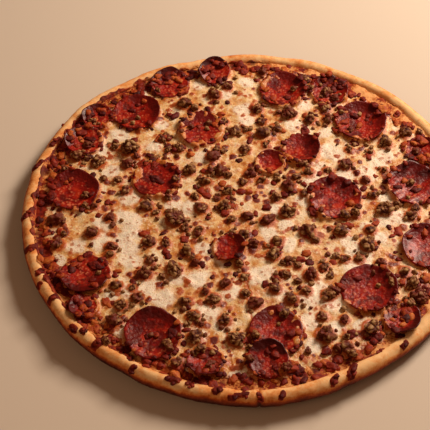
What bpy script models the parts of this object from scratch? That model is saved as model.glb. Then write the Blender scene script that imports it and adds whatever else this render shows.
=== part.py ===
"""A whole pan pizza with pepperoni and sausage crumbles, as separate solids.

Metres, +Z up. The flat underside of the crust lies on z = 0 and the pizza is centred on the origin.
The crust carries the sauce, the sauce carries the cheese, and the slices of pepperoni lie on the cheese.
The crumbles of sausage are baked into the cheese, so they are one solid with it.
"""

import math
import random
from typing import NamedTuple

import bmesh
import bpy
from mathutils import Matrix, Vector, noise
from mathutils.bvhtree import BVHTree


class Slice(NamedTuple):
    """One slice of pepperoni: where it lies, how wide it is and how its edge curls."""

    x: float
    y: float
    diameter: float
    curl: float
    tilt: float
    raised: float


class Clump(NamedTuple):
    """One crumble of sausage: where it lies and how wide it is."""

    x: float
    y: float
    width: float


# The crust: an oval bead of bread round a sunken bed
RIM_RADIUS = 0.178
RIM_HALF_WIDTH = 0.0062
RIM_HALF_HEIGHT = 0.0072
RIM_HEIGHT = 0.0182
BED_HEIGHT = 0.0108
BED_RADIUS = RIM_RADIUS - 2.0 * RIM_HALF_WIDTH
FOOT_RADIUS = 0.1660
FOOT_CURVE_OUT = 0.0062
FOOT_CURVE_UP = 0.0020
RIM_START = -35.0
RIM_END = 170.0
RIM_POINTS = 8

# How far the hand-shaped rim swells, sinks and bulges, and how far apart its bulges are
RIM_BULGE_OUT = 0.0012
RIM_BULGE_UP = 0.0010
RIM_BULGE_SPACING = 0.034

# Swellings of the outline: bearing in degrees, height, and half-width in degrees
OUTLINE_SWELLINGS = (
    (-89.0, 0.0030, 15.0),
    (143.0, 0.0026, 16.0),
    (40.0, 0.0016, 18.0),
    (-150.0, -0.0012, 20.0),
    (105.0, -0.0014, 16.0),
    (-62.0, -0.0012, 12.0),
)

# The layers on the bed, from the bottom up, just clear of each other
CLEARANCE = 0.0004
SAUCE_RADIUS = 0.1628
SAUCE_THICKNESS = 0.0012
SAUCE_BEVEL = 0.0008
SAUCE_BASE = BED_HEIGHT + CLEARANCE
SAUCE_RAGGED = 0.012
SAUCE_LOBES = 3.1
CHEESE_RADIUS = 0.1590
CHEESE_THICKNESS = 0.0034
CHEESE_LIP = 0.0012
CHEESE_FALL = 0.0009
CHEESE_BASE = SAUCE_BASE + SAUCE_THICKNESS + CLEARANCE
CHEESE_TOP = CHEESE_BASE + CHEESE_THICKNESS
CHEESE_RAGGED = 0.030
CHEESE_LOBES = 4.3
CHEESE_BUMPS = 0.0007
CHEESE_BUMP_SPACING = 0.024

# How finely the round solids are divided
CRUST_STEPS = 96
SAUCE_STEPS = 48
CHEESE_STEPS = 72
CHEESE_RINGS = 6
SLICE_STEPS = 18

# Slices of pepperoni: x, y, diameter, curl of the edge, tilt in degrees, and the bearing of the raised side
SLICE_THICKNESS = 0.0015
SLICE_FLAT_SHARE = 0.62
SLICE_UNDERCUT = 0.985
SLICE_RIM_SHARE = 0.85
SLICES = (
    Slice(-0.090, 0.104, 0.0390, 0.0040, 2.0, 40.0),
    Slice(-0.137, 0.018, 0.0400, 0.0030, 3.0, 60.0),
    Slice(-0.072, 0.029, 0.0380, 0.0020, 1.0, 20.0),
    Slice(-0.124, -0.067, 0.0370, 0.0030, 2.0, -80.0),
    Slice(-0.072, -0.122, 0.0420, 0.0038, 2.0, 70.0),
    Slice(-0.036, 0.084, 0.0370, 0.0018, 1.0, 100.0),
    Slice(0.034, 0.129, 0.0390, 0.0036, 2.0, 50.0),
    Slice(0.046, 0.059, 0.0300, 0.0034, 4.0, 20.0),
    Slice(0.097, 0.089, 0.0420, 0.0042, 2.0, 45.0),
    Slice(0.020, 0.045, 0.0240, 0.0026, 3.0, 50.0),
    Slice(0.069, 0.005, 0.0420, 0.0030, 2.0, 60.0),
    Slice(0.132, 0.018, 0.0410, 0.0036, 2.0, 80.0),
    Slice(0.135, -0.045, 0.0390, 0.0034, 2.0, 110.0),
    Slice(0.087, -0.085, 0.0420, 0.0038, 2.0, 30.0),
    Slice(0.017, -0.121, 0.0390, 0.0026, 1.0, 80.0),
    Slice(0.010, -0.146, 0.0300, 0.0028, 9.0, 85.0),
    Slice(-0.063, 0.140, 0.0330, 0.0026, 5.0, 115.0),
    Slice(-0.024, 0.153, 0.0270, 0.0030, 10.0, 100.0),
    Slice(-0.015, -0.044, 0.0250, 0.0030, 5.0, 10.0),
    Slice(0.074, 0.128, 0.0320, 0.0030, 3.0, 60.0),
    Slice(-0.133, 0.073, 0.0310, 0.0028, 6.0, 150.0),
    Slice(-0.123, 0.101, 0.0260, 0.0024, 5.0, 140.0),
    Slice(0.144, 0.056, 0.0270, 0.0028, 5.0, 20.0),
    Slice(-0.124, -0.096, 0.0220, 0.0020, 5.0, -140.0),
    Slice(-0.034, -0.147, 0.0260, 0.0026, 5.0, -100.0),
    Slice(0.109, -0.112, 0.0280, 0.0028, 6.0, -45.0),
)
DROP_SAMPLES = 26

# Crumbles of sausage, the largest first: x, y and width in millimetres
CRUMBLES_MM = (
    (-94, 64, 16.0), (-57, -13, 14.5), (52, -124, 14.5), (123, -93, 14.5), (86, -119, 13.5),
    (-12, -127, 13.5), (107, -6, 13.0), (91, -42, 13.0), (38, 101, 13.0), (31, -7, 13.0),
    (-50, 115, 13.0), (-57, -62, 13.0), (120, -79, 12.5), (-120, 49, 12.5), (-150, -11, 12.5),
    (46, -28, 12.5), (-42, -125, 12.0), (71, -27, 12.0), (18, -50, 12.0), (15, -15, 12.0),
    (-79, -66, 12.0), (-100, -109, 12.0), (3, 34, 11.5), (81, 42, 11.5), (45, -70, 11.5),
    (34, 20, 11.5), (-18, -1, 11.5), (-20, 36, 11.5), (-28, -91, 11.5), (-121, -25, 11.5),
    (132, 76, 11.0), (128, -13, 11.0), (115, 65, 11.0), (55, 94, 11.0), (15, 79, 11.0),
    (57, -89, 11.0), (3, -95, 11.0), (-24, 126, 11.0), (-27, 54, 11.0), (-36, -2, 11.0),
    (-77, -35, 11.0), (-147, -36, 11.0), (-46, 39, 10.5), (67, -136, 10.5), (-8, 82, 10.5),
    (-43, -106, 10.5), (-48, -45, 10.5), (-79, 1, 10.5), (94, -27, 10.0), (30, -92, 10.0),
    (18, -82, 10.0), (-15, 15, 10.0), (-20, -110, 10.0), (-48, -93, 10.0), (116, -68, 9.5),
    (50, 34, 9.5), (27, 84, 9.5), (23, 8, 9.5), (22, -37, 9.5), (12, 108, 9.5),
    (4, -40, 9.5), (0, 61, 9.5), (-1, -11, 9.5), (-19, -77, 9.5), (-33, 26, 9.5),
    (-54, 64, 9.5), (-84, -88, 9.5), (-96, 46, 9.5), (-96, 19, 9.5), (-96, -95, 9.5),
    (-100, -77, 9.5), (-106, -39, 9.5), (-108, -10, 9.5), (70, 95, 9.0), (-4, -29, 9.0),
    (99, -60, 8.5), (41, -85, 8.5), (29, -57, 8.5), (-4, -86, 8.5), (-41, -57, 8.5),
    (99, 9, 8.0), (95, 25, 8.0), (83, -55, 8.0), (72, -55, 8.0), (56, -62, 8.0),
    (51, -108, 8.0), (40, 30, 7.5), (24, -69, 8.0), (15, 93, 8.0), (12, 27, 8.0),
    (-3, 25, 7.5), (-13, 135, 8.0), (-13, -14, 8.0), (-38, -24, 8.0), (-41, 10, 8.0),
    (-49, -22, 8.0), (-64, -37, 8.0), (-68, 75, 8.0), (-107, 67, 8.0), (69, 107, 7.5),
    (-63, 62, 7.5), (85, 59, 7.0), (68, -126, 7.0), (67, -111, 7.0), (65, 36, 7.0),
    (17, 66, 7.0), (-4, -71, 7.0), (-76, -53, 7.0), (-88, -79, 7.0), (-103, 30, 7.0),
    (1, 84, 6.5), (-37, -113, 6.5), (-72, -5, 6.5),
)
CLUMPS = tuple(Clump(x / 1000.0, y / 1000.0, width / 1000.0) for x, y, width in CRUMBLES_MM)
CRUMBLE_SEED = 11

# The form of a crumble, as shares of its width
CRUMBLE_ROUGHNESS = 0.28
CRUMBLE_BUMP_SHARE = 0.42
CRUMBLE_STAND = 0.13
CRUMBLE_SUNK_SHARE = 0.7
LARGE_CRUMBLE = 0.0130

FINISHES = {
    "crust": ((0.56, 0.29, 0.11), 0.62),
    "sauce": ((0.30, 0.035, 0.012), 0.35),
    "cheese": ((0.80, 0.60, 0.33), 0.42),
    "pepperoni": ((0.36, 0.035, 0.020), 0.33),
}


def clear_scene():
    """Removes whatever the file opened with."""
    for thing in list(bpy.data.objects):
        bpy.data.objects.remove(thing)


def finish_named(name):
    """The material of that finish: a Principled BSDF with its colour and roughness."""
    material = bpy.data.materials.get(name)
    if material is None:
        colour, roughness = FINISHES[name]
        material = bpy.data.materials.new(name)
        material.use_nodes = True
        shader = material.node_tree.nodes["Principled BSDF"]
        shader.inputs["Base Color"].default_value = (*colour, 1.0)
        shader.inputs["Roughness"].default_value = roughness
        shader.inputs["Metallic"].default_value = 0.0
    return material


def add_object(name, shape, finish):
    """Puts a bmesh into the scene as one named, smooth-shaded object."""
    bmesh.ops.recalc_face_normals(shape, faces=shape.faces[:])
    mesh = bpy.data.meshes.new(name)
    shape.to_mesh(mesh)
    shape.free()
    mesh.shade_smooth()
    mesh.materials.append(finish_named(finish))
    thing = bpy.data.objects.new(name, mesh)
    bpy.context.scene.collection.objects.link(thing)
    return thing


def turned(profile, steps):
    """A closed bmesh turned about Z from (radius, height) points that start and end on the axis."""
    shape = bmesh.new()
    line = [shape.verts.new((radius, 0.0, height)) for radius, height in profile]
    edges = [shape.edges.new(pair) for pair in zip(line, line[1:])]
    bmesh.ops.spin(
        shape,
        geom=line + edges,
        cent=(0.0, 0.0, 0.0),
        axis=(0.0, 0.0, 1.0),
        angle=math.tau,
        steps=steps,
        use_merge=True,
    )
    bmesh.ops.remove_doubles(shape, verts=shape.verts[:], dist=1e-6)
    return shape


def bearing_of(point):
    """The bearing of a point about Z, in degrees."""
    return math.degrees(math.atan2(point.y, point.x))


def swelling(bearing):
    """How far the outline stands out from a circle at a bearing in degrees."""
    total = 0.0
    for centre, height, half_width in OUTLINE_SWELLINGS:
        away = (bearing - centre + 180.0) % 360.0 - 180.0
        total += height * math.exp(-((away / half_width) ** 2))
    return total


def ragged(bearing, lobes, depth):
    """An uneven edge, as a share of the radius, from a noise that runs round the circle."""
    turn = math.radians(bearing)
    place = Vector((math.cos(turn), math.sin(turn), 0.3)) * lobes
    return 1.0 + depth * noise.noise(place)


def rim_section():
    """Radius and height of points over the rim, from the outer wall to the bed."""
    middle_radius = RIM_RADIUS - RIM_HALF_WIDTH
    middle_height = RIM_HEIGHT - RIM_HALF_HEIGHT
    for step in range(RIM_POINTS):
        turn = math.radians(RIM_START + (RIM_END - RIM_START) * step / (RIM_POINTS - 1))
        yield (
            middle_radius + RIM_HALF_WIDTH * math.cos(turn),
            middle_height + RIM_HALF_HEIGHT * math.sin(turn),
        )


def make_crust():
    """The bread: a flat base, an outer wall that curves under, an uneven rim and a sunken bed."""
    profile = (
        (0.0, 0.0),
        (FOOT_RADIUS, 0.0),
        (FOOT_RADIUS + FOOT_CURVE_OUT, FOOT_CURVE_UP),
        *rim_section(),
        (BED_RADIUS, BED_HEIGHT),
        (0.0, BED_HEIGHT),
    )
    shape = turned(profile, CRUST_STEPS)
    for vertex in shape.verts:
        flat = Vector((vertex.co.x, vertex.co.y, 0.0))
        on_bed = flat.length <= BED_RADIUS + CLEARANCE and vertex.co.z <= BED_HEIGHT + CLEARANCE
        on_base = flat.length < FOOT_RADIUS - CLEARANCE
        if on_base or (on_bed and vertex.co.z > CLEARANCE):
            continue
        bulge = noise.noise(vertex.co / RIM_BULGE_SPACING)
        share = vertex.co.z / RIM_HEIGHT
        vertex.co += flat.normalized() * (swelling(bearing_of(flat)) + RIM_BULGE_OUT * bulge)
        vertex.co.z += RIM_BULGE_UP * bulge * share
    xs = [vertex.co.x for vertex in shape.verts]
    ys = [vertex.co.y for vertex in shape.verts]
    middle = Vector((min(xs) + max(xs), min(ys) + max(ys), 0.0)) / 2.0
    bmesh.ops.translate(shape, verts=shape.verts[:], vec=-middle)
    return add_object("crust", shape, "crust")


def make_sauce():
    """The tomato sauce: a thin ragged layer on the bed, which shows past the cheese."""
    top = SAUCE_BASE + SAUCE_THICKNESS
    profile = (
        (0.0, SAUCE_BASE),
        (SAUCE_RADIUS, SAUCE_BASE),
        (SAUCE_RADIUS - SAUCE_BEVEL, top),
        (0.0, top),
    )
    shape = turned(profile, SAUCE_STEPS)
    for vertex in shape.verts:
        share = ragged(bearing_of(vertex.co), SAUCE_LOBES, SAUCE_RAGGED)
        vertex.co.x *= share
        vertex.co.y *= share
    return add_object("sauce", shape, "sauce")


def make_cheese():
    """The melted cheese before its crumbles: a ragged disc with a low, lumpy top."""
    profile = [(0.0, CHEESE_BASE), (CHEESE_RADIUS, CHEESE_BASE), (CHEESE_RADIUS, CHEESE_BASE + CHEESE_LIP)]
    for ring in range(CHEESE_RINGS, 0, -1):
        share = ring / (CHEESE_RINGS + 0.2)
        profile.append((CHEESE_RADIUS * share, CHEESE_TOP - CHEESE_FALL * share**8))
    profile.append((0.0, CHEESE_TOP))
    shape = turned(profile, CHEESE_STEPS)
    for vertex in shape.verts:
        nearness_to_edge = (math.hypot(vertex.co.x, vertex.co.y) / CHEESE_RADIUS) ** 4
        share = 1.0 + (ragged(bearing_of(vertex.co), CHEESE_LOBES, CHEESE_RAGGED) - 1.0) * nearness_to_edge
        vertex.co.x *= share
        vertex.co.y *= share
        if vertex.co.z > CHEESE_BASE + 0.5 * CHEESE_THICKNESS:
            vertex.co.z += CHEESE_BUMPS * noise.noise(vertex.co / CHEESE_BUMP_SPACING)
    return add_object("cheese", shape, "cheese")


def lumpy_ball(clump, draw):
    """One crumble: a rough, flattened lump of sausage with its lower side sunk in the cheese."""
    shape = bmesh.new()
    divisions = 2 if clump.width > LARGE_CRUMBLE else 1
    bmesh.ops.create_icosphere(shape, subdivisions=divisions, radius=clump.width / 2.0)
    squeeze = Matrix.Diagonal((1.0, draw.uniform(0.78, 0.98), draw.uniform(0.70, 0.84), 1.0))
    offset = Vector((draw.uniform(0.0, 9.0), draw.uniform(0.0, 9.0), 0.0))
    for vertex in shape.verts:
        bump = noise.noise(vertex.co / (CRUMBLE_BUMP_SHARE * clump.width) + offset)
        vertex.co *= 1.0 + CRUMBLE_ROUGHNESS * bump
    turn = Matrix.Rotation(draw.uniform(0.0, math.tau), 4, "Z")
    move = Matrix.Translation((clump.x, clump.y, CHEESE_TOP + CRUMBLE_STAND * clump.width))
    bmesh.ops.transform(shape, matrix=move @ turn @ squeeze, verts=shape.verts[:])
    lowest = CHEESE_TOP - CRUMBLE_SUNK_SHARE * CHEESE_THICKNESS
    for vertex in shape.verts:
        vertex.co.z = max(vertex.co.z, lowest)
    return shape


def add_crumbles(cheese):
    """Joins the sausage crumbles to the cheese with one Boolean union."""
    draw = random.Random(CRUMBLE_SEED)
    gathered = bpy.data.collections.new("crumbles")
    bpy.context.scene.collection.children.link(gathered)
    for number, clump in enumerate(CLUMPS):
        lump = add_object(f"crumble_{number:03d}", lumpy_ball(clump, draw), "cheese")
        bpy.context.scene.collection.objects.unlink(lump)
        gathered.objects.link(lump)
    union = cheese.modifiers.new("crumbles", "BOOLEAN")
    union.operation = "UNION"
    union.operand_type = "COLLECTION"
    union.collection = gathered
    union.solver = "EXACT"
    bpy.context.view_layer.update()
    evaluated = cheese.evaluated_get(bpy.context.evaluated_depsgraph_get())
    joined = bpy.data.meshes.new_from_object(evaluated)
    cheese.modifiers.clear()
    cheese.data = joined
    for lump in list(gathered.objects):
        bpy.data.objects.remove(lump)
    bpy.data.collections.remove(gathered)


def slice_shape(piece):
    """A cupped slice: a thin disc whose wavy edge curls up, most of all at one bearing."""
    radius = piece.diameter / 2.0
    flat = SLICE_FLAT_SHARE * radius
    profile = (
        (0.0, 0.0),
        (flat, 0.0),
        (radius * SLICE_UNDERCUT, 0.0),
        (radius, SLICE_RIM_SHARE * SLICE_THICKNESS),
        (flat, SLICE_THICKNESS),
        (0.0, SLICE_THICKNESS),
    )
    shape = turned(profile, SLICE_STEPS)
    raised = math.radians(piece.raised)
    for vertex in shape.verts:
        distance = math.hypot(vertex.co.x, vertex.co.y)
        turn = math.atan2(vertex.co.y, vertex.co.x)
        wave = 1.0 + 0.45 * math.cos(turn - raised) + 0.22 * math.sin(3.0 * turn + 2.0 * raised)
        vertex.co.z += piece.curl * wave * (distance / radius) ** 2.4
        out_of_round = 1.0 + 0.025 * math.sin(2.0 * turn + 3.0 * raised) + 0.015 * math.sin(5.0 * turn)
        vertex.co.x *= out_of_round
        vertex.co.y *= out_of_round
    return shape


def tree_of(thing):
    """A search tree over an object's faces, for finding what lies above or below a point."""
    points = [thing.matrix_world @ vertex.co for vertex in thing.data.vertices]
    return BVHTree.FromPolygons(points, [face.vertices[:] for face in thing.data.polygons])


def drop_height(thing, supports):
    """How far a slice at z = 0 has to rise to lie on what is under it, just clear of it."""
    own = tree_of(thing)
    up, down = Vector((0.0, 0.0, 1.0)), Vector((0.0, 0.0, -1.0))
    corners = [thing.matrix_world @ Vector(corner) for corner in thing.bound_box]
    low_x, high_x = min(c.x for c in corners), max(c.x for c in corners)
    low_y, high_y = min(c.y for c in corners), max(c.y for c in corners)
    rise = 0.0
    for i in range(DROP_SAMPLES + 1):
        for j in range(DROP_SAMPLES + 1):
            x = low_x + (high_x - low_x) * i / DROP_SAMPLES
            y = low_y + (high_y - low_y) * j / DROP_SAMPLES
            underside = own.ray_cast(Vector((x, y, -1.0)), up)[0]
            if underside is None:
                continue
            for tree in supports:
                below = tree.ray_cast(Vector((x, y, 1.0)), down)[0]
                if below is not None:
                    rise = max(rise, below.z - underside.z)
    return rise + CLEARANCE


def make_slices(supports):
    """Lays each slice of pepperoni on the cheese, the rim or an earlier slice."""
    for number, piece in enumerate(SLICES, start=1):
        thing = add_object(f"pepperoni_{number:02d}", slice_shape(piece), "pepperoni")
        raised = math.radians(piece.raised)
        lean_axis = Vector((math.sin(raised), -math.cos(raised), 0.0))
        rotation = Matrix.Rotation(math.radians(piece.tilt), 4, lean_axis)
        thing.matrix_world = Matrix.Translation((piece.x, piece.y, 0.0)) @ rotation
        bpy.context.view_layer.update()
        rise = drop_height(thing, supports)
        thing.matrix_world = Matrix.Translation((piece.x, piece.y, rise)) @ rotation
        bpy.context.view_layer.update()
        supports.append(tree_of(thing))


def main():
    """Builds the pizza from the crust up."""
    clear_scene()
    crust = make_crust()
    make_sauce()
    cheese = make_cheese()
    bpy.context.view_layer.update()
    make_slices([tree_of(crust), tree_of(cheese)])
    add_crumbles(cheese)


main()
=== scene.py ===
"""Looks of a whole pan pizza: baked bread, tomato sauce, melted cheese, pepperoni and sausage crumbles.

Everything is in metres, +Z up, with the pizza's flat underside on z = 0 and its centre on the origin.
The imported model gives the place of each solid. The pieces made here stand for those solids with a fine
surface.
"""

import itertools
import logging
import math
import random
from dataclasses import dataclass, field
from enum import Enum
from typing import Callable, Iterable, NamedTuple, Sequence

import bmesh
import bpy
import numpy as np
from mathutils import Matrix, Vector, noise
from mathutils.bvhtree import BVHTree

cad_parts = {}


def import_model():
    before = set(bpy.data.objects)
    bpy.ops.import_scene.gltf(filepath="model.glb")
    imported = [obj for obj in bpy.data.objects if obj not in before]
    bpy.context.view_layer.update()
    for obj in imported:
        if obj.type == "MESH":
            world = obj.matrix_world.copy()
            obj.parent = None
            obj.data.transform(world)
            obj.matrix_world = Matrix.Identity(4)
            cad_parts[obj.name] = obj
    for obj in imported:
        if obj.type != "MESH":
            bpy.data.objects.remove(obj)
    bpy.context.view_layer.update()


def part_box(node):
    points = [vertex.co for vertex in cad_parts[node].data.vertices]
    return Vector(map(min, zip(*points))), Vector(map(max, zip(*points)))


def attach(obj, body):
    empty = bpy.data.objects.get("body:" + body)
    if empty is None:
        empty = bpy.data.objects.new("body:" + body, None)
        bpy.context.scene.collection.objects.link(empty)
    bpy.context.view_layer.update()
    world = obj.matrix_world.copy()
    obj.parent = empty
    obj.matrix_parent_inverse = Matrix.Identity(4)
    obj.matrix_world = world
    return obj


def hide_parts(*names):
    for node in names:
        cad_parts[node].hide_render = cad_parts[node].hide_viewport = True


LOG = logging.getLogger("pan_pizza")
MM = 0.001
BODY = "root"
UP = Vector((0.0, 0.0, 1.0))
Layers = dict[str, np.ndarray]


class Slot(Enum):
    """Names of material slots; the gathered lumps are handed one, which nothing reads."""

    CRUST = "crust"
    SAUCE = "sauce"
    CHEESE = "cheese"
    PEPPERONI = "pepperoni"


class Slice(NamedTuple):
    """One slice of pepperoni: its place, size and curl, as the solids have them, and its looks.

    lap is how far cheese has crept over it, char how dark it is, and folds the depth of its creases.
    """

    x: float
    y: float
    diameter: float
    curl: float
    tilt: float
    raised: float
    lap: float
    char: float
    folds: float = 0.0


class Clump(NamedTuple):
    """One crumble of sausage, in millimetres: where it lies and how wide it is."""

    x: float
    y: float
    width: float


class PalePatch(NamedTuple):
    """A patch of cheese that stayed pale, in millimetres."""

    x: float
    y: float
    radius: float


class Drip(NamedTuple):
    """A drip of sauce that ran over the rim and charred: its ends and its half-width, in millimetres."""

    start_x: float
    start_y: float
    end_x: float
    end_y: float
    half_width: float


SLICES = (
    Slice(-0.090, 0.104, 0.0390, 0.0040, 2.0, 40.0, 0.20, 0.35),
    Slice(-0.137, 0.018, 0.0400, 0.0030, 3.0, 60.0, 0.12, 0.45),
    Slice(-0.072, 0.029, 0.0380, 0.0020, 1.0, 20.0, 0.50, 0.15),
    Slice(-0.124, -0.067, 0.0370, 0.0030, 2.0, -80.0, 0.12, 0.60),
    Slice(-0.072, -0.122, 0.0420, 0.0038, 2.0, 70.0, 0.15, 0.55),
    Slice(-0.036, 0.084, 0.0370, 0.0018, 1.0, 100.0, 0.62, 0.05),
    Slice(0.034, 0.129, 0.0390, 0.0036, 2.0, 50.0, 0.45, 0.35),
    Slice(0.046, 0.059, 0.0300, 0.0034, 4.0, 20.0, 0.40, 0.45),
    Slice(0.097, 0.089, 0.0420, 0.0042, 2.0, 45.0, 0.30, 0.25),
    Slice(0.020, 0.045, 0.0240, 0.0026, 3.0, 50.0, 0.75, 0.30),
    Slice(0.069, 0.005, 0.0420, 0.0030, 2.0, 60.0, 0.55, 0.30, 0.0009),
    Slice(0.132, 0.018, 0.0410, 0.0036, 2.0, 80.0, 0.10, 0.60, 0.0011),
    Slice(0.135, -0.045, 0.0390, 0.0034, 2.0, 110.0, 0.10, 0.30),
    Slice(0.087, -0.085, 0.0420, 0.0038, 2.0, 30.0, 0.15, 0.15),
    Slice(0.017, -0.121, 0.0390, 0.0026, 1.0, 80.0, 0.30, 0.25),
    Slice(0.010, -0.146, 0.0300, 0.0028, 9.0, 85.0, 0.10, 0.90),
    Slice(-0.063, 0.140, 0.0330, 0.0026, 5.0, 115.0, 0.30, 0.65),
    Slice(-0.024, 0.153, 0.0270, 0.0030, 10.0, 100.0, 0.20, 0.80),
    Slice(-0.015, -0.044, 0.0250, 0.0030, 5.0, 10.0, 0.55, 0.25),
    Slice(0.074, 0.128, 0.0320, 0.0030, 3.0, 60.0, 0.50, 0.65),
    Slice(-0.133, 0.073, 0.0310, 0.0028, 6.0, 150.0, 0.50, 0.55),
    Slice(-0.123, 0.101, 0.0260, 0.0024, 5.0, 140.0, 0.50, 0.70),
    Slice(0.144, 0.056, 0.0270, 0.0028, 5.0, 20.0, 0.50, 0.55),
    Slice(-0.124, -0.096, 0.0220, 0.0020, 5.0, -140.0, 0.35, 0.60),
    Slice(-0.034, -0.147, 0.0260, 0.0026, 5.0, -100.0, 0.35, 0.65),
    Slice(0.109, -0.112, 0.0280, 0.0028, 6.0, -45.0, 0.50, 0.70),
)

# The crumbles that the solid cheese has, the largest first
CRUMBLES = tuple(Clump(*row) for row in (
    (-94, 64, 16.0), (-57, -13, 14.5), (52, -124, 14.5), (123, -93, 14.5), (86, -119, 13.5),
    (-12, -127, 13.5), (107, -6, 13.0), (91, -42, 13.0), (38, 101, 13.0), (31, -7, 13.0),
    (-50, 115, 13.0), (-57, -62, 13.0), (120, -79, 12.5), (-120, 49, 12.5), (-150, -11, 12.5),
    (46, -28, 12.5), (-42, -125, 12.0), (71, -27, 12.0), (18, -50, 12.0), (15, -15, 12.0),
    (-79, -66, 12.0), (-100, -109, 12.0), (3, 34, 11.5), (81, 42, 11.5), (45, -70, 11.5),
    (34, 20, 11.5), (-18, -1, 11.5), (-20, 36, 11.5), (-28, -91, 11.5), (-121, -25, 11.5),
    (132, 76, 11.0), (128, -13, 11.0), (115, 65, 11.0), (55, 94, 11.0), (15, 79, 11.0),
    (57, -89, 11.0), (3, -95, 11.0), (-24, 126, 11.0), (-27, 54, 11.0), (-36, -2, 11.0),
    (-77, -35, 11.0), (-147, -36, 11.0), (-46, 39, 10.5), (67, -136, 10.5), (-8, 82, 10.5),
    (-43, -106, 10.5), (-48, -45, 10.5), (-79, 1, 10.5), (94, -27, 10.0), (30, -92, 10.0),
    (18, -82, 10.0), (-15, 15, 10.0), (-20, -110, 10.0), (-48, -93, 10.0), (116, -68, 9.5),
    (50, 34, 9.5), (27, 84, 9.5), (23, 8, 9.5), (22, -37, 9.5), (12, 108, 9.5),
    (4, -40, 9.5), (0, 61, 9.5), (-1, -11, 9.5), (-19, -77, 9.5), (-33, 26, 9.5),
    (-54, 64, 9.5), (-84, -88, 9.5), (-96, 46, 9.5), (-96, 19, 9.5), (-96, -95, 9.5),
    (-100, -77, 9.5), (-106, -39, 9.5), (-108, -10, 9.5), (70, 95, 9.0), (-4, -29, 9.0),
    (99, -60, 8.5), (41, -85, 8.5), (29, -57, 8.5), (-4, -86, 8.5), (-41, -57, 8.5),
    (99, 9, 8.0), (95, 25, 8.0), (83, -55, 8.0), (72, -55, 8.0), (56, -62, 8.0),
    (51, -108, 8.0), (40, 30, 7.5), (24, -69, 8.0), (15, 93, 8.0), (12, 27, 8.0),
    (-3, 25, 7.5), (-13, 135, 8.0), (-13, -14, 8.0), (-38, -24, 8.0), (-41, 10, 8.0),
    (-49, -22, 8.0), (-64, -37, 8.0), (-68, 75, 8.0), (-107, 67, 8.0), (69, 107, 7.5),
    (-63, 62, 7.5), (85, 59, 7.0), (68, -126, 7.0), (67, -111, 7.0), (65, 36, 7.0),
    (17, 66, 7.0), (-4, -71, 7.0), (-76, -53, 7.0), (-88, -79, 7.0), (-103, 30, 7.0),
    (1, 84, 6.5), (-37, -113, 6.5), (-72, -5, 6.5),
))

# Crumbles that lie on slices or against the rim
LOOSE_CRUMBLES = tuple(Clump(*row) for row in (
    (117, -98, 10.0), (70, 125, 9.5), (-31, -150, 9.0), (-38, -137, 9.5), (-129, 67, 9.5),
    (24, -108, 9.0), (131, -6, 8.5), (62, -86, 8.5), (-137, 56, 9.0), (75, -13, 8.5),
    (69, -141, 8.5), (-54, -147, 8.5), (-106, -127, 8.5), (78, 118, 8.0), (60, -137, 8.0),
    (54, 144, 8.5), (51, -36, 6.5), (-8, -58, 8.0), (-17, 93, 8.0), (-23, 61, 6.5),
    (-29, 38, 6.5), (-89, 55, 6.5), (-127, 94, 8.0), (84, -11, 7.5), (22, -154, 8.0),
    (-106, -47, 6.5), (-146, 42, 8.5), (145, 78, 7.5), (108, -80, 7.0), (57, 130, 7.0),
    (46, 12, 7.0), (36, -61, 6.0), (29, 103, 6.0), (17, 154, 8.0), (-34, -84, 6.0),
    (-41, 110, 6.5), (-63, 9, 7.0), (-74, 51, 7.0), (46, 43, 6.5), (-13, -28, 6.0),
    (117, -1, 5.5), (-120, 2, 6.0), (-128, 2, 5.5), (111, 36, 5.5), (102, 56, 5.5),
))

# Where the cheese stayed pale
PALE_PATCHES = tuple(PalePatch(*row) for row in (
    (-74, 67, 8), (-104, 81, 9), (-118, 66, 7), (-89, 53, 7), (-110, 39, 9), (-93, 10, 9),
    (-97, -9, 9), (-112, -14, 8), (-90, -24, 9), (-132, -37, 9), (-36, 54, 8), (-69, 92, 7),
    (-58, 2, 8), (-46, 0, 7), (-85, 129, 6), (-37, 139, 7), (3, 142, 8), (-15, 126, 8),
    (-1, 108, 9), (2, 96, 8), (52, 112, 8), (40, 90, 7), (67, 79, 8), (67, 59, 9),
    (75, 55, 9), (61, 40, 8), (79, 33, 9), (52, 29, 8), (104, 75, 8), (114, 54, 9),
    (107, 45, 8), (97, 33, 8), (108, 9, 8), (121, -15, 9), (108, -15, 9), (44, 5, 8),
    (23, -4, 7), (28, -20, 7), (16, -27, 8), (31, -39, 7), (91, -23, 7), (79, -47, 8),
    (-89, -13, 8), (-114, -34, 10), (-91, -40, 11), (-89, -52, 10), (-145, -53, 7), (-98, -32, 9),
    (-77, -77, 10), (-66, -88, 10), (-91, -82, 8), (-104, -85, 7), (-55, -72, 8), (-39, -72, 9),
    (-31, -101, 10), (-41, -123, 8), (-95, -116, 7), (-50, -150, 6), (-35, -43, 7), (16, -29, 7),
    (-20, -54, 8), (-22, -112, 9), (-16, -84, 9), (4, -70, 10), (10, -67, 9), (20, -86, 8),
    (48, -85, 11), (57, -93, 10), (44, -92, 9), (68, -96, 8), (40, -113, 7), (61, -116, 6),
    (79, -116, 6), (78, -63, 8), (88, -55, 8), (81, -45, 8), (76, -38, 7), (99, -34, 7),
    (-14, -157, 5), (43, -134, 6), (29, -118, 6),
))

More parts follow.
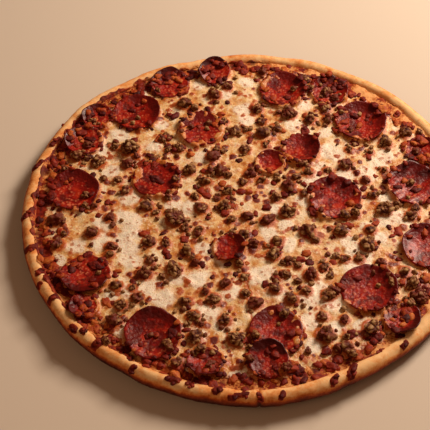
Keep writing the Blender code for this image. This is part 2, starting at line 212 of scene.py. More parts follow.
DRIPS = tuple(Drip(*row) for row in (
    (-176, -11, -168, -1, 2.2), (-170, -43, -162, -38, 2.4), (-152, -93, -145, -88, 2.8),
    (-131, -116, -128, -118, 2.6), (-123, -119, -122, -120, 2.4), (-114, -132, -104, -124, 3.2),
    (-61, -161, -54, -163, 2.8), (-47, -166, -45, -165, 2.4), (-17, -177, -6, -174, 2.8),
    (3, -175, 4, -179, 2.0), (18, -177, 20, -174, 2.4), (34, -164, 35, -161, 3.0),
    (55, -166, 58, -161, 2.4), (68, -162, 71, -152, 2.8), (89, -140, 91, -138, 2.4),
    (-159, -66, -157, -63, 2.4), (-159, -79, -157, -76, 2.2), (-171, 42, -166, 49, 2.2),
    (-159, 68, -154, 75, 2.4), (-156, 102, -152, 94, 2.0), (107, -137, 110, -134, 2.0),
    (-169, 13, -165, 17, 2.2), (-152, -72, -154, -70, 2.2), (-87, -154, -85, -151, 2.6),
    (-27, -172, -24, -170, 2.4),
))

# The knife's one faint cut, from near the middle to the near rim, in millimetres
CUT_LINE = (
    (-10.5, -56.0), (-2.7, -73.5), (-1.5, -85.0), (-0.2, -110.0),
    (1.1, -136.0), (2.9, -167.0), (3.2, -180.0),
)


def linear(hex_colour: str) -> tuple[float, float, float, float]:
    """Turns an sRGB hex colour into a linear colour.

    Args:
        hex_colour: six hexadecimal digits after a hash sign.

    Returns:
        Linear red, green and blue, and an alpha of 1.
    """
    channels = [int(hex_colour[start:start + 2], 16) / 255.0 for start in (1, 3, 5)]
    turned = [c / 12.92 if c <= 0.04045 else ((c + 0.055) / 1.055) ** 2.4 for c in channels]
    return (*turned, 1.0)


def smooth_step(low: float, high: float, value: np.ndarray) -> np.ndarray:
    """A smooth rise from 0 at low to 1 at high.

    Args:
        low: the value where the rise starts.
        high: the value where it ends.
        value: the values to place on it.

    Returns:
        Numbers from 0 to 1.
    """
    share = np.clip((value - low) / (high - low), 0.0, 1.0)
    return share * share * (3.0 - 2.0 * share)


def scatter_number(cells: np.ndarray, seed: int) -> np.ndarray:
    """A repeatable random number for each cell of a lattice.

    Args:
        cells: whole numbers, three for each cell.
        seed: which set of numbers to give.

    Returns:
        Numbers from 0 to 1.
    """
    mixed = cells[..., 0] * 374761393 + cells[..., 1] * 668265263 + cells[..., 2] * 362437009 + seed * 69069
    mixed = (mixed ^ (mixed >> 13)) & 0xFFFFFFFF
    mixed = (mixed * 1274126177) & 0xFFFFFFFF
    return ((mixed ^ (mixed >> 16)) & 0xFFFFFF) / 0x1000000


def soft_noise(points: np.ndarray, spacing: float, seed: int = 0) -> np.ndarray:
    """Smooth noise from -1 to 1.

    Args:
        points: x, y and z of each point.
        spacing: how far apart its features are.
        seed: which pattern to give.

    Returns:
        One value for each point.
    """
    lean = np.array(Matrix.Rotation(0.7, 3, Vector((1.0, 2.0, 3.0))))
    scaled = points @ lean / spacing
    cells = np.floor(scaled).astype(np.int64)
    share = scaled - cells
    share = share * share * (3.0 - 2.0 * share)
    total = np.zeros(len(points))
    for corner in itertools.product((0, 1), repeat=3):
        weight = np.prod(np.where(np.array(corner, dtype=bool), share, 1.0 - share), axis=1)
        total += weight * scatter_number(cells + np.array(corner), seed)
    return 2.0 * total - 1.0


def grain(points: np.ndarray, spacing: float, octaves: int = 3, seed: int = 0) -> np.ndarray:
    """Noise with finer layers added, mostly between -1 and 1.

    Args:
        points: x, y and z of each point.
        spacing: how far apart its largest features are.
        octaves: how many layers it adds up.
        seed: which pattern to give.

    Returns:
        One value for each point.
    """
    weights = [0.5**octave for octave in range(octaves)]
    total = sum(
        weight * soft_noise(points, spacing * weight, seed + number) for number, weight in enumerate(weights)
    )
    return total / math.sqrt(sum(weight * weight for weight in weights))


def cells_around(points: np.ndarray, spacing: float, seed: int = 0) -> tuple[np.ndarray, np.ndarray]:
    """Distances to the nearest and the second nearest of many scattered middles.

    Args:
        points: x, y and z of each point.
        spacing: how far apart the middles are.
        seed: which set of middles to use.

    Returns:
        The two distances for each point, as shares of the spacing.
    """
    scaled = points / spacing
    cells = np.floor(scaled).astype(np.int64)
    nearest = np.full(len(points), 9.0)
    second = np.full(len(points), 9.0)
    for offset in itertools.product((-1, 0, 1), repeat=3):
        cell = cells + np.array(offset)
        middle = cell + np.stack([scatter_number(cell, seed + axis) for axis in range(3)], axis=1)
        away = np.linalg.norm(middle - scaled, axis=1)
        second = np.minimum(second, np.maximum(nearest, away))
        nearest = np.minimum(nearest, away)
    return nearest, second


def bell(away: np.ndarray, width: float) -> np.ndarray:
    """A smooth bump: 1 in its middle and nearly 0 from two widths away.

    Args:
        away: distances from its middle.
        width: the distance at which it has fallen to about a third.

    Returns:
        Numbers from 0 to 1.
    """
    return np.exp(-((away / width) ** 2))


def polar(reach: float, turn: float, x: float = 0.0, y: float = 0.0) -> tuple[float, float]:
    """The place at a distance from another, seen from above.

    Args:
        reach: the distance.
        turn: its direction, in radians from +X.
        x: the other place.
        y: the other place.

    Returns:
        Its x and y.
    """
    return x + reach * math.cos(turn), y + reach * math.sin(turn)


def plan_distance(points: np.ndarray, x: float = 0.0, y: float = 0.0) -> np.ndarray:
    """How far points are from a place, or from the pizza's axis, seen from above.

    Args:
        points: x, y and z of each point, in metres.
        x: the place.
        y: the place.

    Returns:
        Metres.
    """
    return np.hypot(points[:, 0] - x, points[:, 1] - y)


def bearings(points: np.ndarray) -> np.ndarray:
    """The bearing of each point about Z.

    Args:
        points: x, y and z of each point.

    Returns:
        Degrees from -180 to 180.
    """
    return np.degrees(np.arctan2(points[:, 1], points[:, 0]))


def facing(points: np.ndarray, bearing: float) -> np.ndarray:
    """How far each point lies towards a bearing.

    Args:
        points: x, y and z of each point.
        bearing: in degrees about Z.

    Returns:
        Numbers from -1, opposite it, to 1, on it.
    """
    return np.cos(np.radians(bearings(points) - bearing))


def outward_of(points: np.ndarray) -> np.ndarray:
    """The level direction away from the axis at each point.

    Args:
        points: x, y and z of each point.

    Returns:
        One direction for each point.
    """
    return points * (1.0, 1.0, 0.0) / np.maximum(plan_distance(points), MM)[:, None]


def stroke_distance(points: np.ndarray, stroke: Sequence[float]) -> np.ndarray:
    """How far points are from a straight stroke, seen from above.

    Args:
        points: x, y and z of each point, in metres.
        stroke: x and y of its two ends, in millimetres.

    Returns:
        Metres.
    """
    start = np.array(stroke[0:2]) * MM
    along = np.array(stroke[2:4]) * MM - start
    offset = points[:, :2] - start
    share = np.clip(offset @ along / (along @ along), 0.0, 1.0)
    return np.linalg.norm(offset - share[:, None] * along, axis=1)


def cut_distance(points: np.ndarray) -> np.ndarray:
    """How far points are from the knife's cut, seen from above.

    Args:
        points: x, y and z of each point, in metres.

    Returns:
        Metres.
    """
    strokes = [stroke_distance(points, (*start, *end)) for start, end in zip(CUT_LINE, CUT_LINE[1:])]
    return np.min(strokes, axis=0)


def on_pale_cheese(x: float, y: float) -> bool:
    """Whether a place lies well inside a pale patch.

    Args:
        x: the place, in metres.
        y: the place, in metres.

    Returns:
        True on a pale patch.
    """
    return any(
        math.hypot(x - patch.x * MM, y - patch.y * MM) < 0.9 * patch.radius * MM for patch in PALE_PATCHES
    )


@dataclass(frozen=True)
class Paint:
    """A material while its nodes are laid: its tree, its shader and the socket with Object coordinates."""

    tree: bpy.types.NodeTree
    shader: bpy.types.Node
    place: bpy.types.NodeSocket

    def node(self, kind: str, inputs: dict, **settings: object) -> bpy.types.Node:
        """Adds a shader node with its settings, values and links.

        Args:
            kind: the node's type name.
            inputs: for each input, by name or number, a value or the socket that feeds it.
            **settings: the node's own properties.

        Returns:
            The new node.
        """
        node = self.tree.nodes.new(kind)
        for name, value in settings.items():
            setattr(node, name, value)
        for name, value in inputs.items():
            if isinstance(value, bpy.types.NodeSocket):
                self.tree.links.new(value, node.inputs[name])
            else:
                node.inputs[name].default_value = value
        return node

    def feed(self, name: str, source: bpy.types.NodeSocket) -> None:
        """Links a socket to one of the shader's inputs.

        Args:
            name: the input.
            source: the socket.
        """
        self.tree.links.new(source, self.shader.inputs[name])

    def constants(self, values: dict) -> None:
        """Sets constants on the shader's own sockets.

        Args:
            values: the value of each input, by name.
        """
        for name, value in values.items():
            self.shader.inputs[name].default_value = value

    def maths(self, operation: str, *inputs: object) -> bpy.types.NodeSocket:
        """Adds one step of arithmetic.

        Args:
            operation: its name on the Math node.
            *inputs: its values or sockets, in order.

        Returns:
            The socket with the result.
        """
        return self.node("ShaderNodeMath", dict(enumerate(inputs)), operation=operation).outputs[0]

    def layer(self, name: str) -> bpy.types.NodeSocket:
        """Reads one of the mesh's own layers of values.

        Args:
            name: the layer's name.

        Returns:
            The socket with its values.
        """
        return self.node("ShaderNodeAttribute", {}, attribute_name=name).outputs["Fac"]

    def blotches(self, size: float, detail: float = 3.0) -> bpy.types.NodeSocket:
        """Noise with features of a real size.

        Args:
            size: how far apart the features are, in metres.
            detail: how much finer detail it has.

        Returns:
            The socket with values around 0.5.
        """
        inputs = {"Vector": self.place, "Scale": 1.0 / size, "Detail": detail, "Roughness": 0.6}
        return self.node("ShaderNodeTexNoise", inputs).outputs["Fac"]

    def cells(self, size: float) -> bpy.types.NodeSocket:
        """Distance to the middle of the nearest scattered grain.

        Args:
            size: how far apart the grains are, in metres.

        Returns:
            The socket with the distance as a share of the size.
        """
        inputs = {"Vector": self.place, "Scale": 1.0 / size, "Randomness": 1.0}
        return self.node("ShaderNodeTexVoronoi", inputs).outputs["Distance"]

    def ramp(self, by: bpy.types.NodeSocket, *stops: tuple[float, str]) -> bpy.types.NodeSocket:
        """Turns values into colours.

        Args:
            by: the socket with the values.
            *stops: position and sRGB hex colour of each stop.

        Returns:
            The socket with the colour.
        """
        node = self.node("ShaderNodeValToRGB", {"Fac": by})
        elements = node.color_ramp.elements
        while len(elements) < len(stops):
            elements.new(1.0)
        for element, (position, colour) in zip(elements, stops):
            element.position = position
            element.color = linear(colour)
        return node.outputs["Color"]

    def tinted(
        self,
        colour: bpy.types.NodeSocket,
        amount: bpy.types.NodeSocket,
        span: tuple[float, float],
        tint: str,
        most: float = 1.0,
    ) -> bpy.types.NodeSocket:
        """Lays a tint over a colour where an amount is high.

        Args:
            colour: the colour below.
            amount: the socket that says where.
            span: the amounts at which the tint starts and is full.
            tint: sRGB hex colour.
            most: how much of the colour the full tint covers.

        Returns:
            The socket with the new colour.
        """
        limits = {"Value": amount, "From Min": span[0], "From Max": span[1], "To Min": 0.0, "To Max": most}
        share = self.node("ShaderNodeMapRange", limits, interpolation_type="SMOOTHSTEP").outputs["Result"]
        colours = {0: share, 6: colour, 7: linear(tint)}
        return self.node("ShaderNodeMix", colours, data_type="RGBA").outputs[2]

    def broken_up(
        self, amount: bpy.types.NodeSocket, by: bpy.types.NodeSocket, strength: float,
    ) -> bpy.types.NodeSocket:
        """Adds noise around 0.5 to an amount, so that its edges turn uneven.

        Args:
            amount: the socket to break up.
            by: the noise.
            strength: how strongly.

        Returns:
            The socket with the uneven amount.
        """
        return self.maths("MULTIPLY_ADD", self.maths("SUBTRACT", by, 0.5), strength, amount)

    def relief(self, height: bpy.types.NodeSocket, strength: float, depth: float) -> None:
        """Bumps the surface.

        Args:
            height: the socket with the bumps' height.
            strength: their strength, from 0 to 1.
            depth: their depth, in metres.
        """
        inputs = {"Height": height, "Strength": strength, "Distance": depth}
        self.feed("Normal", self.node("ShaderNodeBump", inputs).outputs["Normal"])

    def shine(self, by: bpy.types.NodeSocket, span: tuple[float, float]) -> None:
        """Lets the roughness vary.

        Args:
            by: the noise that varies it.
            span: the roughness at the noise's low and high.
        """
        limits = {"Value": by, "From Min": 0.3, "From Max": 0.7, "To Min": span[0], "To Max": span[1]}
        self.feed("Roughness", self.node("ShaderNodeMapRange", limits).outputs["Result"])


@dataclass(frozen=True)
class Finish:
    """A surface finish. Each kind of surface fills in its own nodes."""

    name: str

    def material(self) -> bpy.types.Material:
        """Builds the material.

        Returns:
            A node material whose shader is a Principled BSDF.
        """
        material = bpy.data.materials.new(self.name)
        material.use_nodes = True
        tree = material.node_tree
        shader = tree.nodes["Principled BSDF"]
        place = tree.nodes.new("ShaderNodeTexCoord").outputs["Object"]
        self.dress(Paint(tree, shader, place))
        return material

    def dress(self, paint: Paint) -> None:
        """Adds the finish's own nodes.

        Args:
            paint: the material.
        """
        raise NotImplementedError


@dataclass(frozen=True)
class BakedBread(Finish):
    """Bread baked on a hot deck.

    The crest browns in the dry heat to a mottled gold and the low side, next to the hot deck, turns dark
    brown, so the colour follows how baked each place is. The bake layer also holds painted shade, darkest
    on the side away from the key light, on the far outer edge and in the knife's groove, and painted light
    on the side towards the key light. Dry crust is matt and finely pored.
    """

    mottle: float = 9.0 * MM
    speck: float = 1.8 * MM
    pore: float = 0.8 * MM

    def dress(self, paint: Paint) -> None:
        """Adds gold to brown by the bake layer and its painted shade, broken up by mottles and specks.

        Args:
            paint: the material.
        """
        mottle = paint.blotches(self.mottle, 4.0)
        speck = paint.blotches(self.speck)
        # The bake layer holds real browning and painted shade; its dark end also paints the shade on the
        # bread.
        baked = paint.broken_up(paint.broken_up(paint.layer("bake"), mottle, 0.8), speck, 0.35)
        colour = paint.ramp(
            baked, (0.00, "#FCCC8E"), (0.18, "#F0A45C"), (0.36, "#D06C26"),
            (0.54, "#9C3E10"), (0.76, "#742A0C"), (1.00, "#441205"),
        )
        paint.feed("Base Color", colour)
        paint.shine(speck, (0.50, 0.78))
        paint.relief(paint.blotches(self.pore, 4.0), 0.3, 0.4 * MM)
        paint.constants({
            "Specular IOR Level": 0.25,
            "Subsurface Weight": 0.04,
            "Subsurface Radius": (1.0, 0.45, 0.2),
            "Subsurface Scale": 1.5 * MM,
        })


@dataclass(frozen=True)
class MeltedCheese(Finish):
    """Grated cheese melted into one skin and browned.

    Its fat runs out and pools orange round the toppings, its bubbles toast to brown dots, and what stays
    covered is pale and creamy. The skin lets a little light in and shines where the fat lies.
    """

    cloud: float = 12.0 * MM
    blister: float = 5.0 * MM
    fleck: float = 2.2 * MM
    speck: float = 1.7 * MM
    bubble: float = 5.2 * MM
    skin: float = 1.5 * MM

    def dress(self, paint: Paint) -> None:
        """Adds cream clouds, then fat, sauce and toast over them by their layers.

        Args:
            paint: the material.
        """
        cloud = paint.blotches(self.cloud, 4.0)
        fleck = paint.blotches(self.fleck)
        pale = paint.broken_up(paint.layer("pale"), fleck, 0.9)
        colour = paint.ramp(cloud, (0.36, "#FBE8C2"), (0.50, "#EFC888"), (0.63, "#D99448"))
        colour = paint.tinted(colour, paint.blotches(self.blister, 3.0), (0.50, 0.66), "#CC7A2C", 0.62)
        colour = paint.tinted(colour, pale, (0.10, 1.00), "#FEF2DA", 0.85)
        speck = paint.cells(self.speck)
        near = paint.maths("SUBTRACT", 1.0, speck)
        colour = paint.tinted(colour, near, (0.66, 0.88), "#C27236", 0.6)
        colour = paint.tinted(colour, fleck, (0.56, 0.72), "#BC6A2A", 0.55)
        colour = paint.tinted(colour, fleck, (0.43, 0.30), "#FFF4DE", 0.55)
        oil = paint.broken_up(paint.layer("oil"), fleck, 0.9)
        colour = paint.tinted(colour, oil, (0.28, 0.95), "#D2742A", 0.92)
        bubble = paint.cells(self.bubble)
        inside = paint.maths("SUBTRACT", 1.0, bubble)
        toasted = paint.broken_up(paint.broken_up(inside, fleck, 0.7), cloud, 1.6)
        colour = paint.tinted(colour, toasted, (0.72, 0.94), "#B45E20", 0.75)
        sauce = paint.broken_up(paint.layer("sauce"), fleck, 1.3)
        colour = paint.tinted(colour, sauce, (0.35, 0.70), "#7C1F0E")
        # The toast layer holds the real toasted dots and also the painted shade in the knife's groove.
        toast = paint.broken_up(paint.layer("toast"), fleck, 0.7)
        colour = paint.tinted(colour, toast, (0.16, 0.50), "#B8561C")
        colour = paint.tinted(colour, toast, (0.50, 0.86), "#6C1A06")
        paint.feed("Base Color", colour)
        paint.shine(cloud, (0.52, 0.34))
        paint.relief(paint.blotches(self.skin), 0.8, 0.6 * MM)
        paint.constants({
            "Subsurface Weight": 0.08,
            "Subsurface Radius": (1.0, 0.55, 0.25),
            "Subsurface Scale": 1.4 * MM,
        })


@dataclass(frozen=True)
class CuredPepperoni(Finish):
    """Pork sausage cured with paprika, cut thin and baked.

    Lean meat is deep red, the grains of fat stay pink, the raised edge dries dark and chars. Inside the
    raised side a dark crescent is painted shade, and the low side is painted pinker as painted light.
    Melted fat wets it all over, so it is glossy.
    """

    fat: float = 2.6 * MM
    meat: float = 6.0 * MM
    patch: float = 11.0 * MM

    def dress(self, paint: Paint) -> None:
        """Adds meat and fat, then the darker edge and the char, with their painted shade, by their layers.

        Args:
            paint: the material.
        """
        meat = paint.blotches(self.meat, 4.0)
        fine = paint.blotches(0.6 * self.fat)
        colour = paint.ramp(meat, (0.32, "#680802"), (0.50, "#981305"), (0.68, "#BE3414"))
        grains = paint.cells(self.fat)
        spots = paint.maths("SUBTRACT", fine, grains)
        fatty = paint.maths("MULTIPLY_ADD", paint.layer("pink"), 0.42, spots)
        # The pink layer is real fat in the middle and painted light on the cup's lit side.
        colour = paint.tinted(colour, fatty, (0.30, 0.80), "#DA7650", 0.75)
        colour = paint.tinted(colour, paint.blotches(self.patch), (0.50, 0.62), "#520602", 0.8)
        # The edge and char layers carry the dried, charred edge and the painted shade crescent inside the
        # raised side.
        edge = paint.broken_up(paint.layer("edge"), meat, 1.2)
        colour = paint.tinted(colour, edge, (0.30, 0.85), "#640802", 0.90)
        char = paint.broken_up(paint.layer("char"), meat, 1.0)
        colour = paint.tinted(colour, char, (0.45, 0.95), "#400401", 0.90)
        paint.feed("Base Color", colour)
        paint.shine(fine, (0.30, 0.52))
        paint.relief(spots, 0.7, 0.45 * MM)
        paint.constants({"Specular IOR Level": 0.25, "Coat Weight": 0.12, "Coat Roughness": 0.24})


@dataclass(frozen=True)
class CookedSausage(Finish):
    """Minced sausage meat, crumbled and baked.

    The colour follows the relief: the grains that stand out are painted tan as painted light, the gaps
    between them nearly black as painted shade, and some crumbles are redder with paprika and sauce. A film
    of fat gives small glints.
    """

    granule: float = 1.4 * MM
    tint: float = 5.0 * MM

    def dress(self, paint: Paint) -> None:
        """Adds painted shade to gaps and painted light to grains by relief, redder from crumble to crumble.

        Args:
            paint: the material.
        """
        granule = paint.blotches(self.granule)
        height = paint.broken_up(paint.layer("relief"), granule, 0.8)
        # Painted shade in the cracks and painted light on the grain tops, by the relief layer's height.
        colour = paint.ramp(
            height, (0.05, "#340803"), (0.26, "#5E260F"), (0.50, "#8E5A30"),
            (0.82, "#C09A66"),
        )
        tint = paint.broken_up(paint.layer("tone"), paint.blotches(self.tint, 2.0), 1.8)
        colour = paint.tinted(colour, tint, (0.42, 0.85), "#6A1A0A", 0.80)
        paint.feed("Base Color", colour)
        paint.shine(granule, (0.45, 0.72))
        paint.relief(granule, 0.8, 0.6 * MM)
        paint.constants({"Specular IOR Level": 0.25})


@dataclass(frozen=True)
class BakedTomatoSauce(Finish):
    """Tomato sauce that bubbled up at the rim and baked on.

    Thick sauce is dark red and wet, what caught is nearly black, and cheese that ran into it shows orange.
    """

    lump: float = 5.0 * MM
    pulp: float = 1.6 * MM

    def dress(self, paint: Paint) -> None:
        """Adds red lumps and pulp, then cheese and burnt drips by their layers.

        Args:
            paint: the material.
        """
        lump = paint.blotches(self.lump, 4.0)
        pulp = paint.blotches(self.pulp)
        colour = paint.ramp(lump, (0.30, "#4E0902"), (0.48, "#821A07"), (0.66, "#AC4216"))
        cheese = paint.broken_up(paint.layer("cheese"), pulp, 1.5)
        colour = paint.tinted(colour, cheese, (0.35, 0.65), "#D07C36", 0.95)
        colour = paint.tinted(colour, cheese, (0.55, 0.95), "#EEB070", 0.85)
        burnt = paint.broken_up(paint.layer("burnt"), pulp, 1.0)
        colour = paint.tinted(colour, burnt, (0.35, 0.95), "#4A0B02", 0.80)
        paint.feed("Base Color", colour)
        paint.shine(pulp, (0.50, 0.75))
        paint.relief(pulp, 0.7, 0.6 * MM)
        paint.constants({"Specular IOR Level": 0.2})


@dataclass(frozen=True)
class CaramelisedBits(Finish):
    """Drops of sauce and cheese whose sugar caramelised.

    They are dark red to orange brown, rough and barely glazed.
    """

    fine: float = 1.3 * MM

    def dress(self, paint: Paint) -> None:
        """Adds colour by each bit's own tone layer.

        Args:
            paint: the material.
        """
        fine = paint.blotches(self.fine)
        tone = paint.broken_up(paint.layer("tone"), paint.layer("relief"), 0.4)
        tone = paint.broken_up(tone, fine, 0.5)
        colour = paint.ramp(
            tone, (0.00, "#420602"), (0.25, "#6C1103"), (0.50, "#962A0A"),
            (0.75, "#C06022"), (1.00, "#E4A052"),
        )
        paint.feed("Base Color", colour)
        paint.shine(fine, (0.48, 0.74))
        paint.relief(fine, 0.9, 0.5 * MM)
        paint.constants({"Specular IOR Level": 0.25})


@dataclass(frozen=True)
class PaintedFloor(Finish):
    """A plain matt painted studio floor."""

    colour: str = "#DCCFBC"

    def dress(self, paint: Paint) -> None:
        """Sets one pale matt colour.

        Args:
            paint: the material.
        """
        paint.constants({"Base Color": linear(self.colour), "Roughness": 0.85})


def points_of(mesh: bpy.types.Mesh) -> np.ndarray:
    """Reads a mesh's points.

    Args:
        mesh: the mesh.

    Returns:
        One row of x, y and z for each point.
    """
    flat = np.empty(3 * len(mesh.vertices), dtype=np.float32)
    mesh.vertices.foreach_get("co", flat)
    return flat.reshape(-1, 3).astype(np.float64)


def publish(
    name: str,
    shape: bmesh.types.BMesh,
    material: bpy.types.Material,
    form: Callable[[np.ndarray], tuple[np.ndarray, Layers]],
    replaced: Iterable[str] = (),
) -> bpy.types.Object:
    """Turns a bmesh into a smooth-shaded piece that rides on the pizza's body.

    Args:
        name: the piece's name.
        shape: its plain mesh, which is freed.
        material: its finish.
        form: takes the plain points and gives the shaped points and the named layers of values.
        replaced: names of the solids that it stands for.

    Returns:
        The new object.
    """
    bmesh.ops.recalc_face_normals(shape, faces=shape.faces[:])
    mesh = bpy.data.meshes.new(name)
    shape.to_mesh(mesh)
    shape.free()
    points, layers = form(points_of(mesh))
    mesh.vertices.foreach_set("co", points.astype(np.float32).ravel())
    for layer_name, values in layers.items():
        layer = mesh.attributes.new(layer_name, "FLOAT", "POINT")
        layer.data.foreach_set("value", values.astype(np.float32))
    mesh.update()
    mesh.shade_smooth()
    mesh.materials.append(material)
    piece = bpy.data.objects.new(name, mesh)
    bpy.context.scene.collection.objects.link(piece)
    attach(piece, BODY)
    for node in replaced:
        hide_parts(node)
    mesh.calc_loop_triangles()
    LOG.info("%s: %d triangles", name, len(mesh.loop_triangles))
    return piece


def turned(profile: Sequence[tuple[float, float]], steps: int) -> bmesh.types.BMesh:
    """Turns a profile that starts and ends on the axis into a closed shape.

    A grid is rolled up, one row for each point of the profile, and its seam and poles are merged.

    Args:
        profile: radius and height of each point.
        steps: how many times the circle is divided.

    Returns:
        The shape.
    """
    shape = bmesh.new()
    last = len(profile) - 1
    bmesh.ops.create_grid(shape, x_segments=steps, y_segments=last, size=1.0)
    for vertex in shape.verts:
        radius, height = profile[round((vertex.co.y + 1.0) / 2.0 * last)]
        turn = math.tau * round((vertex.co.x + 1.0) / 2.0 * steps) / steps
        vertex.co = (radius * math.cos(turn), radius * math.sin(turn), height)
    bmesh.ops.remove_doubles(shape, verts=shape.verts[:], dist=1e-6)
    return shape


@dataclass
class Surface:
    """The uppermost surface of what is made so far, found by looking straight down."""

    trees: list[BVHTree] = field(default_factory=list)

    def add(self, piece: bpy.types.Object) -> None:
        """Adds a finished piece to the surface.

        Args:
            piece: the piece.
        """
        shape = bmesh.new()
        shape.from_mesh(piece.data)
        self.trees.append(BVHTree.FromBMesh(shape))
        shape.free()

    def height(self, x: float, y: float) -> float:
        """The height of the surface over a place.

        Args:
            x: the place, in metres.
            y: the place, in metres.

        Returns:
            Metres.
        """
        found = [tree.ray_cast(Vector((x, y, 1.0)), -UP)[0] for tree in self.trees]
        return max((hit.z for hit in found if hit is not None), default=0.0)


@dataclass
class BreadForm:
    """The hand-shaped form of the bread, which the crust and the sauce on its rim share."""

    rim_radius: float = 178.0 * MM
    half_width: float = 6.2 * MM
    half_height: float = 7.2 * MM
    rim_height: float = 18.2 * MM
    bed_height: float = 10.8 * MM
    foot_radius: float = 166.0 * MM
    bulge_out: float = 1.2 * MM
    bulge_up: float = 1.0 * MM
    bulge_spacing: float = 34.0 * MM
    dimple: float = 0.55 * MM
    wrinkle: float = 0.22 * MM
    notch: float = 1.1 * MM
    swellings: tuple = (
        (-89.0, 3.0 * MM, 15.0),
        (143.0, 2.6 * MM, 16.0),
        (40.0, 1.6 * MM, 18.0),
        (-150.0, -1.2 * MM, 20.0),
        (105.0, -1.4 * MM, 16.0),
        (-62.0, -1.2 * MM, 12.0),
    )
    stretch: np.ndarray = field(default_factory=lambda: np.ones(3))
    shift: np.ndarray = field(default_factory=lambda: np.zeros(3))

    @property
    def middle_radius(self) -> float:
        """Radius of the middle of the rim's bead."""
        return self.rim_radius - self.half_width

    @property
    def middle_height(self) -> float:
        """Height of the middle of the rim's bead."""
        return self.rim_height - self.half_height

    @property
    def bed_radius(self) -> float:
        """Radius of the bed inside the rim."""
        return self.rim_radius - 2.0 * self.half_width

    def on_bead(self, angle: float) -> tuple[float, float]:
        """A point of the rim's section.

        Args:
            angle: degrees round the bead, 0 at the outside, 90 at the crest, 180 at the inside.

        Returns:
            Radius and height.
        """
        turn = math.radians(angle)
        return (
            self.middle_radius + self.half_width * math.cos(turn),
            self.middle_height + self.half_height * math.sin(turn),
        )

    def swelling(self, bearing: np.ndarray) -> np.ndarray:
        """How far the outline stands out from a circle.

        Args:
            bearing: in degrees about Z.

        Returns:
            Metres, negative where it is drawn in.
        """
        total = np.zeros_like(bearing)
        for centre, height, half_width in self.swellings:
            away = (bearing - centre + 180.0) % 360.0 - 180.0
            total += height * bell(away, half_width)
        return total

    def off_bead(self, points: np.ndarray) -> np.ndarray:
        """Directions straight off the bead.

        Args:
            points: points of the plain form.

        Returns:
            One direction for each point.
        """
        radii = plan_distance(points)
        away = outward_of(points) * (radii - self.middle_radius)[:, None]
        away[:, 2] = points[:, 2] - self.middle_height
        return away / np.maximum(np.linalg.norm(away, axis=1), 1e-6)[:, None]

    def shaped(self, points: np.ndarray, share: np.ndarray) -> np.ndarray:
        """Moves points of the plain turned form to where the hand-shaped bread has them.

        Args:
            points: the points before.
            share: how much of the move applies to each.

        Returns:
            The points after.
        """
        bulge = np.array([noise.noise(spot) for spot in points / self.bulge_spacing])
        out = (self.swelling(bearings(points)) + self.bulge_out * bulge) * share
        moved = points + outward_of(points) * out[:, None]
        moved[:, 2] += self.bulge_up * bulge * points[:, 2] / self.rim_height * share
        fine = self.dimple * grain(points, 13.0 * MM, 2, 5) + self.wrinkle * grain(points, 4.0 * MM, 3, 9)
        fine = np.minimum(fine - 0.25 * MM, 0.0)
        fine -= self.notch * bell(cut_distance(points), 0.9 * MM)
        return moved + self.off_bead(points) * (fine * share)[:, None]

    def fitted(self, points: np.ndarray) -> np.ndarray:
        """Stretches and moves points just as the crust was to fill its solid's box.

        Args:
            points: the points before.

        Returns:
            The points after.
        """
        return points * self.stretch + self.shift

    def fit_to(self, points: np.ndarray, node: str) -> None:
        """Works out the stretch and the move that make points fill a solid's box.

        Args:
            points: the crust's points.
            node: the solid's name.
        """
        low, high = (np.array(corner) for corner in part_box(node))
        own_low, own_high = points.min(axis=0), points.max(axis=0)
        self.stretch = (high - low) / (own_high - own_low)
        self.shift = low - own_low * self.stretch


